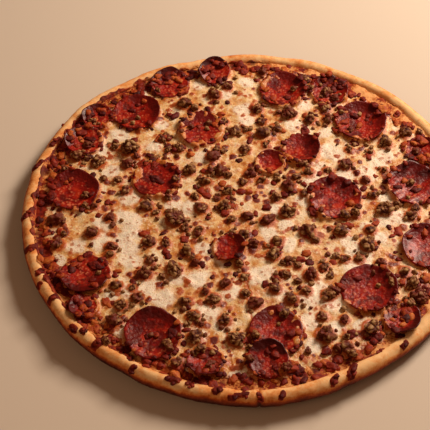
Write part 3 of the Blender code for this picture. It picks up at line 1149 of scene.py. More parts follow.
@dataclass
class Crust:
    """The bread: base, browned outer wall, uneven rim and sunken bed."""

    form: BreadForm
    steps: int = 1000
    bead_points: int = 44
    foot_points: int = 9
    base_rings: int = 14
    foot_round: float = 7.5 * MM
    foot_lift: float = 0.4 * MM
    bead_from: float = -35.0
    bead_turn: float = 205.0
    # Where the painted shade on the bread falls: darkest on the near left, away from the key light, and on
    # the far outer edge; the rise lifts the painted shade higher up the shaded side.
    shade_bearing: float = -140.0
    far_shade_bearing: float = 70.0
    brown_level: float = 5.5
    shade_rise: float = 3.8
    brown_fade: float = 12.4
    finish: Finish = BakedBread("baked bread")

    def profile(self) -> list[tuple[float, float]]:
        """Draws the section.

        Returns:
            Radius and height of its points, from the middle of the base to the middle of the bed.
        """
        form = self.form
        points = [(form.foot_radius * ring / self.base_rings, 0.0) for ring in range(self.base_rings + 1)]
        start = np.array((form.foot_radius, 0.0))
        pull = np.array((form.foot_radius + self.foot_round, self.foot_lift))
        end = np.array(form.on_bead(self.bead_from))
        for step in range(1, self.foot_points):
            share = step / self.foot_points
            near = start + (pull - start) * share
            far = pull + (end - pull) * share
            points.append(tuple(near + (far - near) * share))
        for step in range(self.bead_points + 1):
            points.append(form.on_bead(self.bead_from + self.bead_turn * step / self.bead_points))
        points.append((form.bed_radius, form.bed_height))
        points.append((0.97 * form.bed_radius, form.bed_height))
        points.append((0.0, form.bed_height))
        return points

    def bake(self, points: np.ndarray) -> np.ndarray:
        """How brown the bread is, with painted shade and painted light added.

        Args:
            points: points of the plain form.

        Returns:
            Numbers from 0, pale, to 1, burnt, with painted shade counted as darker.
        """
        # Painted shade: the side away from the key light is darker, and darker higher up.
        painted_shade_side = 0.5 + 0.5 * facing(points, self.shade_bearing)
        rise = self.shade_rise * painted_shade_side
        # The low side is darker: partly real browning by the deck, partly painted shade.
        share = (points[:, 2] / MM - self.brown_level - rise) / (self.brown_fade - rise)
        low = 1.0 - smooth_step(0.0, 1.0, share)
        patches = grain(points, 28.0 * MM, 3, 21)
        scorched = smooth_step(0.35, 0.95, grain(points, 12.0 * MM, 3, 33))
        # Painted shade in the knife's groove.
        cut = bell(cut_distance(points), 1.2 * MM)
        side = 0.08 + (0.62 + 0.30 * painted_shade_side) * low + 0.12 * patches + 0.20 * scorched + 0.4 * cut
        radii = plan_distance(points)
        # Painted light: the side towards the key light is made paler.
        side -= 0.13 * np.clip(facing(points, 0.0), 0.0, 1.0)
        # Painted shade along the far outer edge of the rim.
        far = (0.5 + 0.5 * facing(points, self.far_shade_bearing)) ** 2
        side += 0.45 * far * smooth_step(self.form.middle_radius + 1.0 * MM, self.form.rim_radius, radii)
        outer = smooth_step(self.form.foot_radius - 12.0 * MM, self.form.foot_radius, radii)
        base = 0.38 + 0.34 * outer + 0.20 * patches + 0.25 * scorched
        return np.where(points[:, 2] < 0.01 * MM, base, side)

    def shape(self, points: np.ndarray) -> tuple[np.ndarray, Layers]:
        """Gives the plain turned form its hand-made shape, its bake and its painted shade.

        Args:
            points: the plain form.

        Returns:
            The shaped points and the bake layer, with its painted shade.
        """
        form = self.form
        radii = plan_distance(points)
        on_base = (points[:, 2] < 0.01 * MM) & (radii < form.foot_radius - 0.4 * MM)
        on_bed = (radii < form.bed_radius + 0.4 * MM) & (np.abs(points[:, 2] - form.bed_height) < 0.4 * MM)
        moved = form.shaped(points, np.where(on_base | on_bed, 0.0, 1.0))
        moved[:, 2] = np.maximum(moved[:, 2], 0.0)
        form.fit_to(moved, "crust")
        return form.fitted(moved), {"bake": self.bake(points)}

    def build(self) -> bpy.types.Object:
        """Makes the crust.

        Returns:
            The piece.
        """
        shape = turned(self.profile(), self.steps)
        return publish("baked_crust", shape, self.finish.material(), self.shape, ["crust"])


@dataclass
class RimSauce:
    """The sauce: a disc under the cheese that fills the gap to the rim, creeps up it and drips over it."""

    form: BreadForm
    steps: int = 1350
    base: float = 11.2 * MM
    top: float = 12.4 * MM
    fill: float = 15.4 * MM
    fill_start: float = 148.0 * MM
    fill_rings: int = 16
    bead_from: float = 142.0
    bead_to: float = 32.0
    bead_rings: int = 44
    film: float = 0.6 * MM
    lump: float = 0.7 * MM
    pulp: float = 0.45 * MM
    film_lump: float = 0.3 * MM
    pale_bearing: float = 8.0
    creep_depth: float = 20.0
    creep: tuple = (
        (-180.0, 114.0), (-150.0, 112.0), (-120.0, 126.0), (-90.0, 128.0), (-60.0, 136.0), (-30.0, 138.0),
        (0.0, 146.0), (30.0, 150.0), (60.0, 150.0), (90.0, 122.0), (120.0, 116.0), (150.0, 118.0),
        (180.0, 114.0),
    )
    finish: Finish = BakedTomatoSauce("baked tomato sauce")

    def profile(self) -> list[tuple[float, float]]:
        """Draws the section.

        Returns:
            Radius and height of its points, from the middle of the top to the middle of the base.
        """
        form = self.form
        inside = form.on_bead(self.bead_from)[0]
        points = [(0.0, self.top), (0.8 * self.fill_start, self.top), (self.fill_start, self.top)]
        for ring in range(1, self.fill_rings + 1):
            share = ring / self.fill_rings
            radius = self.fill_start + (inside - self.fill_start) * share
            rise = (self.fill - self.top) * float(smooth_step(0.0, 0.45, share))
            points.append((radius, self.top + rise))
        for ring in range(1, self.bead_rings + 1):
            turn = (self.bead_to - self.bead_from) * ring / self.bead_rings
            points.append(form.on_bead(self.bead_from + turn))
        points.append((form.middle_radius, form.middle_height))
        points.append((form.bed_radius - 3.0 * MM, self.base))
        points.append((0.0, self.base))
        return points

    def crept(self, points: np.ndarray) -> np.ndarray:
        """Where sauce crept up the rim's inside.

        Args:
            points: points of the plain bead.

        Returns:
            Numbers from 0, bare bread, to 1, sauce.
        """
        form = self.form
        radii = plan_distance(points)
        angle = np.degrees(np.arctan2(points[:, 2] - form.middle_height, radii - form.middle_radius))
        around = outward_of(points) * form.rim_radius
        ragged = grain(around, 11.0 * MM, 3, 51) + 0.7 * grain(around, 4.5 * MM, 2, 57)
        limit = np.interp(bearings(points), *zip(*self.creep)) - self.creep_depth * ragged
        return smooth_step(-5.0, 7.0, angle - limit)

    def dripped(self, points: np.ndarray) -> np.ndarray:
        """Where sauce dripped over the rim.

        Args:
            points: points of the finished rim.

        Returns:
            Numbers from 0, none, to 1, the middle of a drip.
        """
        drips = np.zeros(len(points))
        uneven = 1.0 + 0.60 * grain(points, 3.6 * MM, 3, 61)
        for drip in DRIPS:
            away = stroke_distance(points, drip[:4]) / (drip.half_width * MM * uneven)
            drips = np.maximum(drips, smooth_step(0.0, 0.8, 1.3 - away))
        return drips

    def shape(self, points: np.ndarray) -> tuple[np.ndarray, Layers]:
        """Gives the plain turned form its lumps, its film on the rim and its colours.

        Args:
            points: the plain form.

        Returns:
            The shaped points and their layers.
        """
        form = self.form
        radii = plan_distance(points)
        upper = points[:, 2] > self.top - 0.01 * MM
        past_fill = upper & (radii > form.on_bead(self.bead_from)[0] + 0.05 * MM)
        on_bead = past_fill | (radii > form.middle_radius)
        share = np.where(upper, smooth_step(form.bed_radius - 12.0 * MM, form.bed_radius, radii), 0.0)
        moved = form.shaped(points, np.where(on_bead, 1.0, share))
        lumps = self.lump * grain(points, 7.0 * MM, 3, 71) + self.pulp * grain(points, 2.8 * MM, 2, 77)
        filled = smooth_step(self.top, self.fill, points[:, 2])
        moved[:, 2] += np.where(upper & ~on_bead, lumps * filled, 0.0)
        drips = np.where(on_bead, self.dripped(moved), 0.0)
        cover = np.maximum(self.crept(points), drips)
        film = self.film * (2.0 * cover - 1.0 + drips) + self.film_lump * grain(points, 2.8 * MM, 2, 83)
        moved += form.off_bead(points) * np.where(on_bead, film, 0.0)[:, None]
        paler = np.clip(1.4 * facing(points, self.pale_bearing) - 0.42, 0.0, 0.36)
        cheese = np.clip(0.42 + paler + 0.75 * grain(points, 9.0 * MM, 3, 87), 0.0, 1.0) * (1.0 - drips)
        middle = 0.75 * smooth_step(0.35, 1.0, drips)
        caught = 0.25 - paler + 0.7 * grain(points, 6.0 * MM, 3, 91)
        burnt = np.clip(np.maximum(middle, caught), 0.0, 1.0)
        return form.fitted(moved), {"cheese": cheese, "burnt": burnt}

    def build(self) -> bpy.types.Object:
        """Makes the sauce.

        Returns:
            The piece.
        """
        shape = turned(self.profile(), self.steps)
        return publish("baked_sauce", shape, self.finish.material(), self.shape, ["sauce"])


@dataclass
class PepperoniSlice:
    """One slice: a cupped, wavy disc that lies where its solid does."""

    piece: Slice
    number: int
    thickness: float = 1.5 * MM
    steps: int = 84
    rings: int = 18
    flat_share: float = 0.62
    crinkle: float = 0.80 * MM
    pimple: float = 0.16 * MM
    rise: float = 0.0
    squeeze: float = 1.0

    @property
    def node(self) -> str:
        """The name of its solid."""
        return f"pepperoni_{self.number:02d}"

    @property
    def radius(self) -> float:
        """Its radius before it curls."""
        return self.piece.diameter / 2.0

    def profile(self) -> list[tuple[float, float]]:
        """Draws the section of the flat slice.

        Returns:
            Radius and height of its points, from under its middle to over it.
        """
        under = [(self.radius * share, 0.0) for share in (0.0, 0.35, self.flat_share, 0.82, 0.93, 0.985)]
        rounding = ((0.997, 0.25), (1.0, 0.55), (0.993, 0.84))
        edge = [(share * self.radius, height * self.thickness) for share, height in rounding]
        shares = [1.0 - ring / self.rings for ring in range(1, self.rings + 1)]
        top = [(self.radius * share, self.thickness) for share in shares]
        return under + edge + top

    def lift(self, points: np.ndarray) -> np.ndarray:
        """How far the slice's curl lifts it.

        Args:
            points: points measured from its middle.

        Returns:
            Metres.
        """
        raised = math.radians(self.piece.raised)
        turn = np.arctan2(points[:, 1], points[:, 0])
        share = plan_distance(points) / self.radius
        wave = 1.0 + 0.45 * np.cos(turn - raised) + 0.22 * np.sin(3.0 * turn + 2.0 * raised)
        return self.piece.curl * wave * np.minimum(share, 1.05) ** 2.4

    def lean(self) -> np.ndarray:
        """The turn that tilts the slice.

        Returns:
            A matrix of three rows.
        """
        raised = math.radians(self.piece.raised)
        axis = Vector((math.sin(raised), -math.cos(raised), 0.0))
        return np.array(Matrix.Rotation(math.radians(self.piece.tilt), 3, axis))

    def shape(self, points: np.ndarray) -> tuple[np.ndarray, Layers]:
        """Curls, crinkles, tilts and lays down the flat slice.

        Args:
            points: the flat slice, round its own middle.

        Returns:
            The shaped points and their layers.
        """
        piece = self.piece
        raised = math.radians(piece.raised)
        turn = np.arctan2(points[:, 1], points[:, 0])
        share = plan_distance(points) / self.radius
        here = points + (piece.x, piece.y, 0.0)
        rim = np.stack([np.cos(turn), np.sin(turn), np.zeros_like(turn)], axis=1) * self.radius
        moved = points.copy()
        moved[:, 2] += self.lift(points) + self.crinkle * grain(rim, 7.0 * MM, 2, self.number) * share**3
        across = points[:, 0] * math.cos(raised + 0.9) + points[:, 1] * math.sin(raised + 0.9)
        moved[:, 2] += piece.folds * np.sin(across / (2.1 * MM)) * smooth_step(0.15, 0.9, share)
        on_top = points[:, 2] > 0.8 * self.thickness
        moved[:, 2] += np.where(on_top, self.pimple * grain(here, 2.4 * MM, 3, 7), 0.0)
        out_of_round = 1.0 + 0.025 * np.sin(2.0 * turn + 3.0 * raised) + 0.015 * np.sin(5.0 * turn)
        out_of_round += 0.040 * grain(rim, 7.0 * MM, 3, 3 + self.number) * share
        moved[:, :2] *= out_of_round[:, None]
        moved = moved @ self.lean().T
        low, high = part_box(self.node)
        own_low, own_high = moved[:, 2].min(), moved[:, 2].max()
        self.squeeze = min(1.0, (high[2] - low[2]) / (own_high - own_low))
        self.rise = low[2] - own_low * self.squeeze
        moved[:, 2] = moved[:, 2] * self.squeeze + self.rise
        moved[:, :2] += (piece.x, piece.y)
        side = 0.5 + 0.5 * np.cos(turn - raised)
        worn = share + 0.20 * grain(here, 6.0 * MM, 3, 11)
        # Painted shade: a dark crescent inside the raised side of the cup, which faces away from the key
        # light.
        shade_crescent = smooth_step(0.34, 0.78, worn) * smooth_step(0.48, 0.86, side)
        # The edge layer holds the real dried rim and the painted shade crescent.
        edge = np.maximum(0.62 * smooth_step(0.74, 0.98, worn), shade_crescent)
        # The char layer is heaviest in the painted shade crescent.
        char = piece.char * (0.40 + 0.85 * shade_crescent) + 0.18 * grain(here, 9.0 * MM, 2, 5)
        # Painted light: the low side of the cup, which faces the key light, is made pinker; the pink fat in
        # the middle is real.
        lit_side = (1.0 - side) * smooth_step(0.10, 0.55, share) * (1.0 - smooth_step(0.85, 1.0, share))
        pink = np.maximum(0.6 * (1.0 - smooth_step(0.25, 0.85, share)), lit_side)
        return moved, {"edge": edge, "char": np.clip(char, 0.0, 1.0), "pink": pink}

    def top_over(self, points: np.ndarray) -> tuple[np.ndarray, np.ndarray]:
        """Where the slice's upper face is over a sheet.

        Args:
            points: the sheet's points in the pizza's own place.

        Returns:
            Heights in metres, and how far the points are outside the slice's outline, negative inside.
        """
        own = points - (self.piece.x, self.piece.y, 0.0)
        raised = math.radians(self.piece.raised)
        along = own[:, 0] * math.cos(raised) + own[:, 1] * math.sin(raised)
        leaned = math.sin(math.radians(self.piece.tilt)) * along
        height = (self.lift(own) + self.thickness + leaned) * self.squeeze + self.rise
        return height, plan_distance(own) - self.radius

    def build(self, material: bpy.types.Material) -> bpy.types.Object:
        """Makes the slice.

        Args:
            material: the finish that all slices share.

        Returns:
            The piece.
        """
        shape = turned(self.profile(), self.steps)
        return publish(f"{self.node}_slice", shape, material, self.shape, [self.node])


@dataclass
class CheeseLayer:
    """The melted cheese: a lumpy skin that clings to the toppings, with toasted dots."""

    slices: list[PepperoniSlice]
    seed: int = 23
    radius: float = 159.0 * MM
    base: float = 12.8 * MM
    top: float = 16.2 * MM
    lobes: float = 4.3
    ragged: float = 0.030
    tongue: float = 2.6 * MM
    bump: float = 0.7 * MM
    bump_spacing: float = 24.0 * MM
    divisions: int = 352
    half_size: float = 167.0 * MM
    field_dots: int = 1150
    rim_dots: int = 260
    sunk: float = 0.9 * MM
    lap_height: float = 0.5 * MM
    lap_slope: float = 2.2 * MM
    ceiling: float = 25.6 * MM
    roll: float = 0.55 * MM
    wrinkle: float = 0.26 * MM
    edge_drop: float = 0.9 * MM
    pale_rise: float = 0.35 * MM
    crumble_rise: float = 0.8 * MM
    slice_rise: float = 1.0 * MM
    crease: float = 0.7 * MM
    rim_dots_at: float = 154.0
    oily_middle: tuple = (10.0 * MM, -5.0 * MM)
    oily_width: float = 60.0 * MM
    steep: tuple = (3.2 * MM, 5.2 * MM)
    finish: Finish = MeltedCheese("melted cheese")

    def edge(self, points: np.ndarray) -> np.ndarray:
        """The ragged edge.

        Args:
            points: points of the sheet.

        Returns:
            The edge's radius at each point's bearing.
        """
        outward = outward_of(points)
        lobes = np.array([noise.noise(spot) for spot in (outward + (0.0, 0.0, 0.3)) * self.lobes])
        tongues = grain(outward * self.radius, 9.0 * MM, 3, 13)
        return self.radius * (1.0 + self.ragged * lobes) + self.tongue * tongues

    def paleness(self, points: np.ndarray) -> np.ndarray:
        """Where the cheese stayed pale.

        Args:
            points: points of the sheet.

        Returns:
            Numbers from 0, browned, to 1, pale.
        """
        wander = 3.0 * MM * grain(points, 8.0 * MM, 2, 17)
        pale = np.zeros(len(points))
        for patch in PALE_PATCHES:
            away = (plan_distance(points, patch.x * MM, patch.y * MM) + wander) / (patch.radius * MM)
            pale = np.maximum(pale, 1.0 - smooth_step(0.55, 1.25, away))
        return pale

    def dots(self) -> list[tuple[float, float, float, float, float]]:
        """Draws the toasted dots: thick where the cheese browned, sparse where it stayed pale.

        Returns:
            For each dot its x, y, radius, height and tone.
        """
        draw = random.Random(self.seed)
        found = []
        for number in range(self.field_dots + self.rim_dots):
            at_rim = number >= self.field_dots
            reach = (
                draw.gauss(self.rim_dots_at, 5.0) * MM if at_rim else self.radius * math.sqrt(draw.random())
            )
            x, y = polar(reach, draw.uniform(0.0, math.tau))
            radius = draw.uniform(1.4, 3.6) * MM
            height = draw.uniform(0.25, 0.7) * MM
            tone = draw.uniform(0.25, 0.60) if draw.random() < 0.55 else draw.uniform(0.60, 1.0)
            if not on_pale_cheese(x, y):
                found.append((x, y, radius, height, tone))
            elif draw.random() < 0.3:
                found.append((x, y, 0.75 * radius, height, 0.6 * tone))
        return found

    def shape(self, points: np.ndarray) -> tuple[np.ndarray, Layers]:
        """Gives the flat sheet its height and its colours.

        Args:
            points: the sheet, with its upper face at its top height and its lower rim at its base.

        Returns:
            The shaped points and their layers.
        """
        upper = points[:, 2] > self.base + 0.1 * MM
        inside = self.edge(points) - plan_distance(points)
        rolls = np.array([noise.noise(spot) for spot in points / self.bump_spacing])
        height = self.top + self.bump * rolls + self.roll * grain(points, 9.0 * MM, 3, 19)
        height += self.wrinkle * grain(points, 3.4 * MM, 2, 29)
        height -= self.edge_drop * np.exp(-np.maximum(inside, 0.0) / (5.0 * MM))
        pale = self.paleness(points)
        height += self.pale_rise * pale
        toast = np.clip(0.10 * grain(points, 6.0 * MM, 3, 31), 0.0, 1.0) * (1.0 - pale)
        oil = 0.20 + 0.50 * grain(points, 14.0 * MM, 3, 37) + 0.30 * grain(points, 5.0 * MM, 2, 39)
        oil += 0.22 * bell(plan_distance(points, *self.oily_middle), self.oily_width)
        oil = np.clip(oil - 0.3 * pale, 0.0, 1.0)
        near_edge = np.exp(-np.maximum(inside, 0.0) / (7.0 * MM))
        pools = np.clip(0.9 * grain(points, 15.0 * MM, 3, 41) - 0.75, 0.0, 0.7)
        sauce = 0.55 * near_edge + pools * (1.0 - pale)
        oil = np.maximum(oil, 0.7 * near_edge)
        uneven = 0.34 * grain(points, 2.8 * MM, 2, 47)
        for x, y, radius, rise, tone in self.dots():
            away = plan_distance(points, x, y) / radius + uneven
            near = away < 2.4
            height[near] += rise * np.maximum(0.0, 1.0 - away[near] ** 2)
            toast[near] = np.maximum(toast[near], tone * (1.0 - smooth_step(0.65, 1.15, away[near])))
            oil[near] = np.maximum(oil[near], (0.35 + 0.5 * tone) * np.clip(1.8 - away[near], 0.0, 1.0))
        for clump in CRUMBLES + LOOSE_CRUMBLES:
            away = plan_distance(points, clump.x * MM, clump.y * MM)
            gap = np.maximum(away - 0.46 * clump.width * MM, 0.0)
            height += self.crumble_rise * bell(gap, 1.6 * MM)
            oil = np.maximum(oil, 0.90 * bell(gap, 3.0 * MM))
            toast = np.maximum(toast, 0.52 * bell(gap, 1.7 * MM))
        for cut in self.slices:
            self.cling(cut, points, height, oil)
        crease = bell(cut_distance(points), 0.9 * MM)
        height -= self.crease * crease
        # Painted shade in the knife's groove, laid on the toast layer.
        toast = np.maximum(toast, 0.55 * crease)
        height += np.where(inside < 0.0, np.maximum(1.5 * inside, self.base + 0.6 * MM - self.top), 0.0)
        moved = points.copy()
        moved[:, 2] = np.where(upper, height, points[:, 2])
        return moved, {"toast": toast, "oil": oil, "sauce": np.clip(sauce, 0.0, 1.0), "pale": pale}

    def cling(self, cut: PepperoniSlice, points: np.ndarray, height: np.ndarray, oil: np.ndarray) -> None:
        """Keeps the cheese under one slice, lets it climb the slice's edge and lap over it in places.

        Args:
            cut: the slice.
            points: the sheet's points.
            height: their heights so far, which it changes.
            oil: the fat layer so far, which it changes.
        """
        over, away = cut.top_over(points)
        near = away < 3.0 * self.lap_slope
        points, over, away = points[near], over[near], away[near]
        outside = np.maximum(away, 0.0)
        ground = height[near] + self.slice_rise * bell(outside, 1.6 * MM)
        cover = grain(points, 6.5 * MM, 3, 43) + 1.25 * cut.piece.lap - 1.35
        cover += 0.85 * smooth_step(0.5, 1.0, 1.0 + away / cut.radius)
        cover -= 1.3 * smooth_step(*self.steep, over - ground)
        shown = smooth_step(-0.25, 0.45, cover)
        lapped = over - self.sunk + (self.sunk + self.lap_height) * shown
        hidden = np.minimum(ground, over - cut.thickness - 0.4 * MM)
        fade = shown * (1.0 - smooth_step(0.0, self.lap_slope, away))
        beside = ground + np.maximum(over + self.lap_height - ground, 0.0) * fade
        laid = np.where(away > 0.0, beside, np.where(cover > -0.25, lapped, hidden))
        height[near] = np.minimum(laid, self.ceiling)
        wet = 0.85 * bell(outside, 2.6 * MM)
        greasy = 0.95 - 0.45 * smooth_step(0.2, 0.9, cover)
        oil[near] = np.maximum(oil[near], np.where(away > 0.0, wet, greasy))

    def build(self) -> bpy.types.Object:
        """Makes the cheese.

        Returns:
            The piece.
        """
        shape = bmesh.new()
        bmesh.ops.create_grid(
            shape, x_segments=self.divisions, y_segments=self.divisions, size=self.half_size,
            matrix=Matrix.Translation((0.0, 0.0, self.top)),
        )
        places = np.array([vertex.co for vertex in shape.verts])
        keep = plan_distance(places) < self.edge(places) + 1.5 * MM
        outside = [vertex for vertex, kept in zip(shape.verts, keep) if not kept]
        bmesh.ops.delete(shape, geom=outside, context="VERTS")
        border = [edge for edge in shape.edges if edge.is_boundary]
        walls = bmesh.ops.extrude_edge_only(shape, edges=border)["geom"]
        for part in walls:
            if isinstance(part, bmesh.types.BMVert):
                part.co.z = self.base
        border = [edge for edge in shape.edges if edge.is_boundary]
        bmesh.ops.holes_fill(shape, edges=border, sides=0)
        return publish("melted_cheese", shape, self.finish.material(), self.shape, ["cheese"])


@dataclass
class Lump:
    """One lump of a gathered mesh, in metres: its middle, half-sizes, turn, and values for its shaping."""

    middle: tuple[float, float, float]
    size: tuple[float, float, float]
    turn: float
    offset: tuple[float, float, float]
    divisions: int
    tone: float = 0.0


@dataclass
class LumpGroup:
    """Many closed lumps gathered in one mesh. Each kind of lump gives them its own surface."""

    lumps: list[Lump] = field(default_factory=list)
    ceiling: float = 25.7 * MM
    inset: float = 0.3 * MM

    def surface(self, ways: np.ndarray, lump: Lump) -> tuple[np.ndarray, np.ndarray]:
        """Shapes one lump.

        Args:
            ways: directions from its middle.
            lump: the lump.

        Returns:
            The distance from the middle for each direction, as a share of its size, and the relief layer.
        """
        raise NotImplementedError

    def shape(self, points: np.ndarray) -> tuple[np.ndarray, Layers]:
        """Shapes all lumps.

        Args:
            points: the plain balls' points, lump after lump.

        Returns:
            The shaped points, the relief layer and each lump's own tone.
        """
        moved = np.empty_like(points)
        relief = np.empty(len(points))
        counts = [10 * 4 ** (lump.divisions - 1) + 2 for lump in self.lumps]
        start = 0
        for lump, count in zip(self.lumps, counts):
            end = start + count
            ways = points[start:end] / np.linalg.norm(points[start:end], axis=1)[:, None]
            reach, relief[start:end] = self.surface(ways, lump)
            own = ways * reach[:, None] * lump.size
            turn = np.array(Matrix.Rotation(lump.turn, 3, "Z"))
            moved[start:end] = own @ turn.T + lump.middle
            start = end
        low, high = (np.array(corner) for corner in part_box("crust"))
        moved[:, :2] = np.clip(moved[:, :2], low[:2] + self.inset, high[:2] - self.inset)
        moved[:, 2] = np.minimum(moved[:, 2], self.ceiling)
        return moved, {"relief": relief, "tone": np.repeat([lump.tone for lump in self.lumps], counts)}

    def gather(self, name: str, finish: Finish, slot: Slot) -> bpy.types.Object:
        """Makes the lumps as one mesh.

        Args:
            name: the piece's name.
            finish: its finish.
            slot: not used.

        Returns:
            The piece.
        """
        balls = {divisions: self.ball(divisions) for divisions in {lump.divisions for lump in self.lumps}}
        shape = bmesh.new()
        for lump in self.lumps:
            shape.from_mesh(balls[lump.divisions])
        for ball in balls.values():
            bpy.data.meshes.remove(ball)
        return publish(name, shape, finish.material(), self.shape)

    def ball(self, divisions: int) -> bpy.types.Mesh:
        """Makes one plain ball to copy.

        Args:
            divisions: how finely it is divided.

        Returns:
            Its mesh.
        """
        shape = bmesh.new()
        bmesh.ops.create_icosphere(shape, subdivisions=divisions, radius=1.0)
        mesh = bpy.data.meshes.new("ball")
        shape.to_mesh(mesh)
        shape.free()
        return mesh


@dataclass
class SausageCrumbles(LumpGroup):
    """The crumbles of sausage: heaps of granules with deep cracks between them."""

    seed: int = 11
    cheese_top: float = 16.2 * MM
    stand: float = 0.13
    large: float = 12.8 * MM
    heap: float = 4.6 * MM
    granule: float = 1.9 * MM
    finish: Finish = CookedSausage("cooked sausage")

    def surface(self, ways: np.ndarray, lump: Lump) -> tuple[np.ndarray, np.ndarray]:
        """Adds heaped grains and cracks to one crumble.

        Args:
            ways: directions from its middle.
            lump: the lump.

        Returns:
            The distance from the middle for each direction, as a share of its size, and the relief layer.
        """
        radius = lump.size[0]
        spots = ways * radius + np.array(lump.offset)
        heap = min(self.heap, 0.85 * radius)
        warp = np.stack([soft_noise(spots, 0.8 * heap, 21 + axis) for axis in range(3)], axis=1)
        spots = spots + 0.45 * heap * warp
        nearest, second = cells_around(spots, heap, 3)
        dome = 1.0 - np.minimum(1.0, 1.2 * nearest)
        crack = np.minimum(1.0, 3.0 * (second - nearest))
        relief = 0.6 * dome + 0.4 * crack
        nearest, second = cells_around(spots, self.granule, 5)
        fine_dome = 1.0 - np.minimum(1.0, 1.3 * nearest)
        fine = 0.5 * fine_dome + 0.5 * np.minimum(1.0, 3.0 * (second - nearest))
        reach = 0.90 + 0.44 * soft_noise(ways + np.array(lump.offset), 0.75, 7) + 0.42 * (relief - 0.5)
        reach += 0.30 * MM / radius * (fine - 0.5)
        # The relief layer sets the painted shade in cracks and the painted light on grains; small crumbs get
        # less painted shade.
        shade = 0.78 * relief + 0.22 * fine
        return reach, shade if lump.divisions > 2 else 0.30 + 0.70 * shade

    def build(self) -> bpy.types.Object:
        """Makes the crumbles of the solid cheese.

        Returns:
            The piece.
        """
        draw = random.Random(self.seed)
        shade = random.Random(self.seed + 2)
        for clump in CRUMBLES:
            half = 0.5 * clump.width * MM
            size = (half, half * draw.uniform(0.78, 0.98), half * draw.uniform(0.70, 0.84))
            self.lumps.append(Lump(
                middle=(clump.x * MM, clump.y * MM, self.cheese_top + 2.0 * self.stand * half),
                size=size,
                offset=(draw.uniform(0.0, 9.0), draw.uniform(0.0, 9.0), 0.0),
                turn=draw.uniform(0.0, math.tau),
                divisions=5 if clump.width * MM > self.large else 4,
                tone=shade.random(),
            ))
        return self.gather("sausage_crumbles", self.finish, Slot.CHEESE)


@dataclass
class SausageCrumbs(SausageCrumbles):
    """The loose crumbles on the slices and the rim, and the crumbs that fell off the larger ones."""

    chunks: int = 110
    crumbs: int = 260
    chunk_spread: float = 150.0 * MM
    spread: float = 157.0 * MM
    fine: float = 5.4 * MM
    coarse: float = 7.4 * MM

    def lay(self, surface: Surface, x: float, y: float, width: float, draw: random.Random) -> None:
        """Lays one crumb on the surface.

        Args:
            surface: what it lies on.
            x: where it lies, in metres.
            y: where it lies, in metres.
            width: its width, in metres.
            draw: the seeded random source.
        """
        half = 0.5 * width
        size = (half, half * draw.uniform(0.78, 0.98), half * draw.uniform(0.66, 0.84))
        self.lumps.append(Lump(
            middle=(x, y, min(surface.height(x, y) + 0.25 * half, self.ceiling - 0.9 * size[2])),
            size=size,
            turn=draw.uniform(0.0, math.tau),
            offset=(draw.uniform(0.0, 9.0), draw.uniform(0.0, 9.0), 0.0),
            divisions=4 if width > self.coarse else 3 if width > self.fine else 2,
            tone=draw.random(),
        ))

    def build_on(self, surface: Surface) -> bpy.types.Object:
        """Makes the loose crumbles and the crumbs.

        Args:
            surface: what they lie on.

        Returns:
            The piece.
        """
        draw = random.Random(self.seed + 1)
        for clump in LOOSE_CRUMBLES:
            self.lay(surface, clump.x * MM, clump.y * MM, clump.width * MM, draw)
        for _ in range(self.chunks):
            reach = self.chunk_spread * math.sqrt(draw.random())
            x, y = polar(reach, draw.uniform(0.0, math.tau))
            if not on_pale_cheese(x, y):
                self.lay(surface, x, y, draw.uniform(4.6, 7.2) * MM, draw)
        for _ in range(self.crumbs):
            host = draw.choice(CRUMBLES + LOOSE_CRUMBLES)
            turn = draw.uniform(0.0, math.tau)
            width = draw.uniform(2.8, 5.2) * MM
            away = 0.46 * host.width * MM + 0.2 * width + abs(draw.gauss(0.0, 3.0)) * MM
            x, y = polar(away, turn, host.x * MM, host.y * MM)
            if math.hypot(x, y) < self.spread:
                self.lay(surface, x, y, width, draw)
        return self.gather("sausage_crumbs", self.finish, Slot.CHEESE)


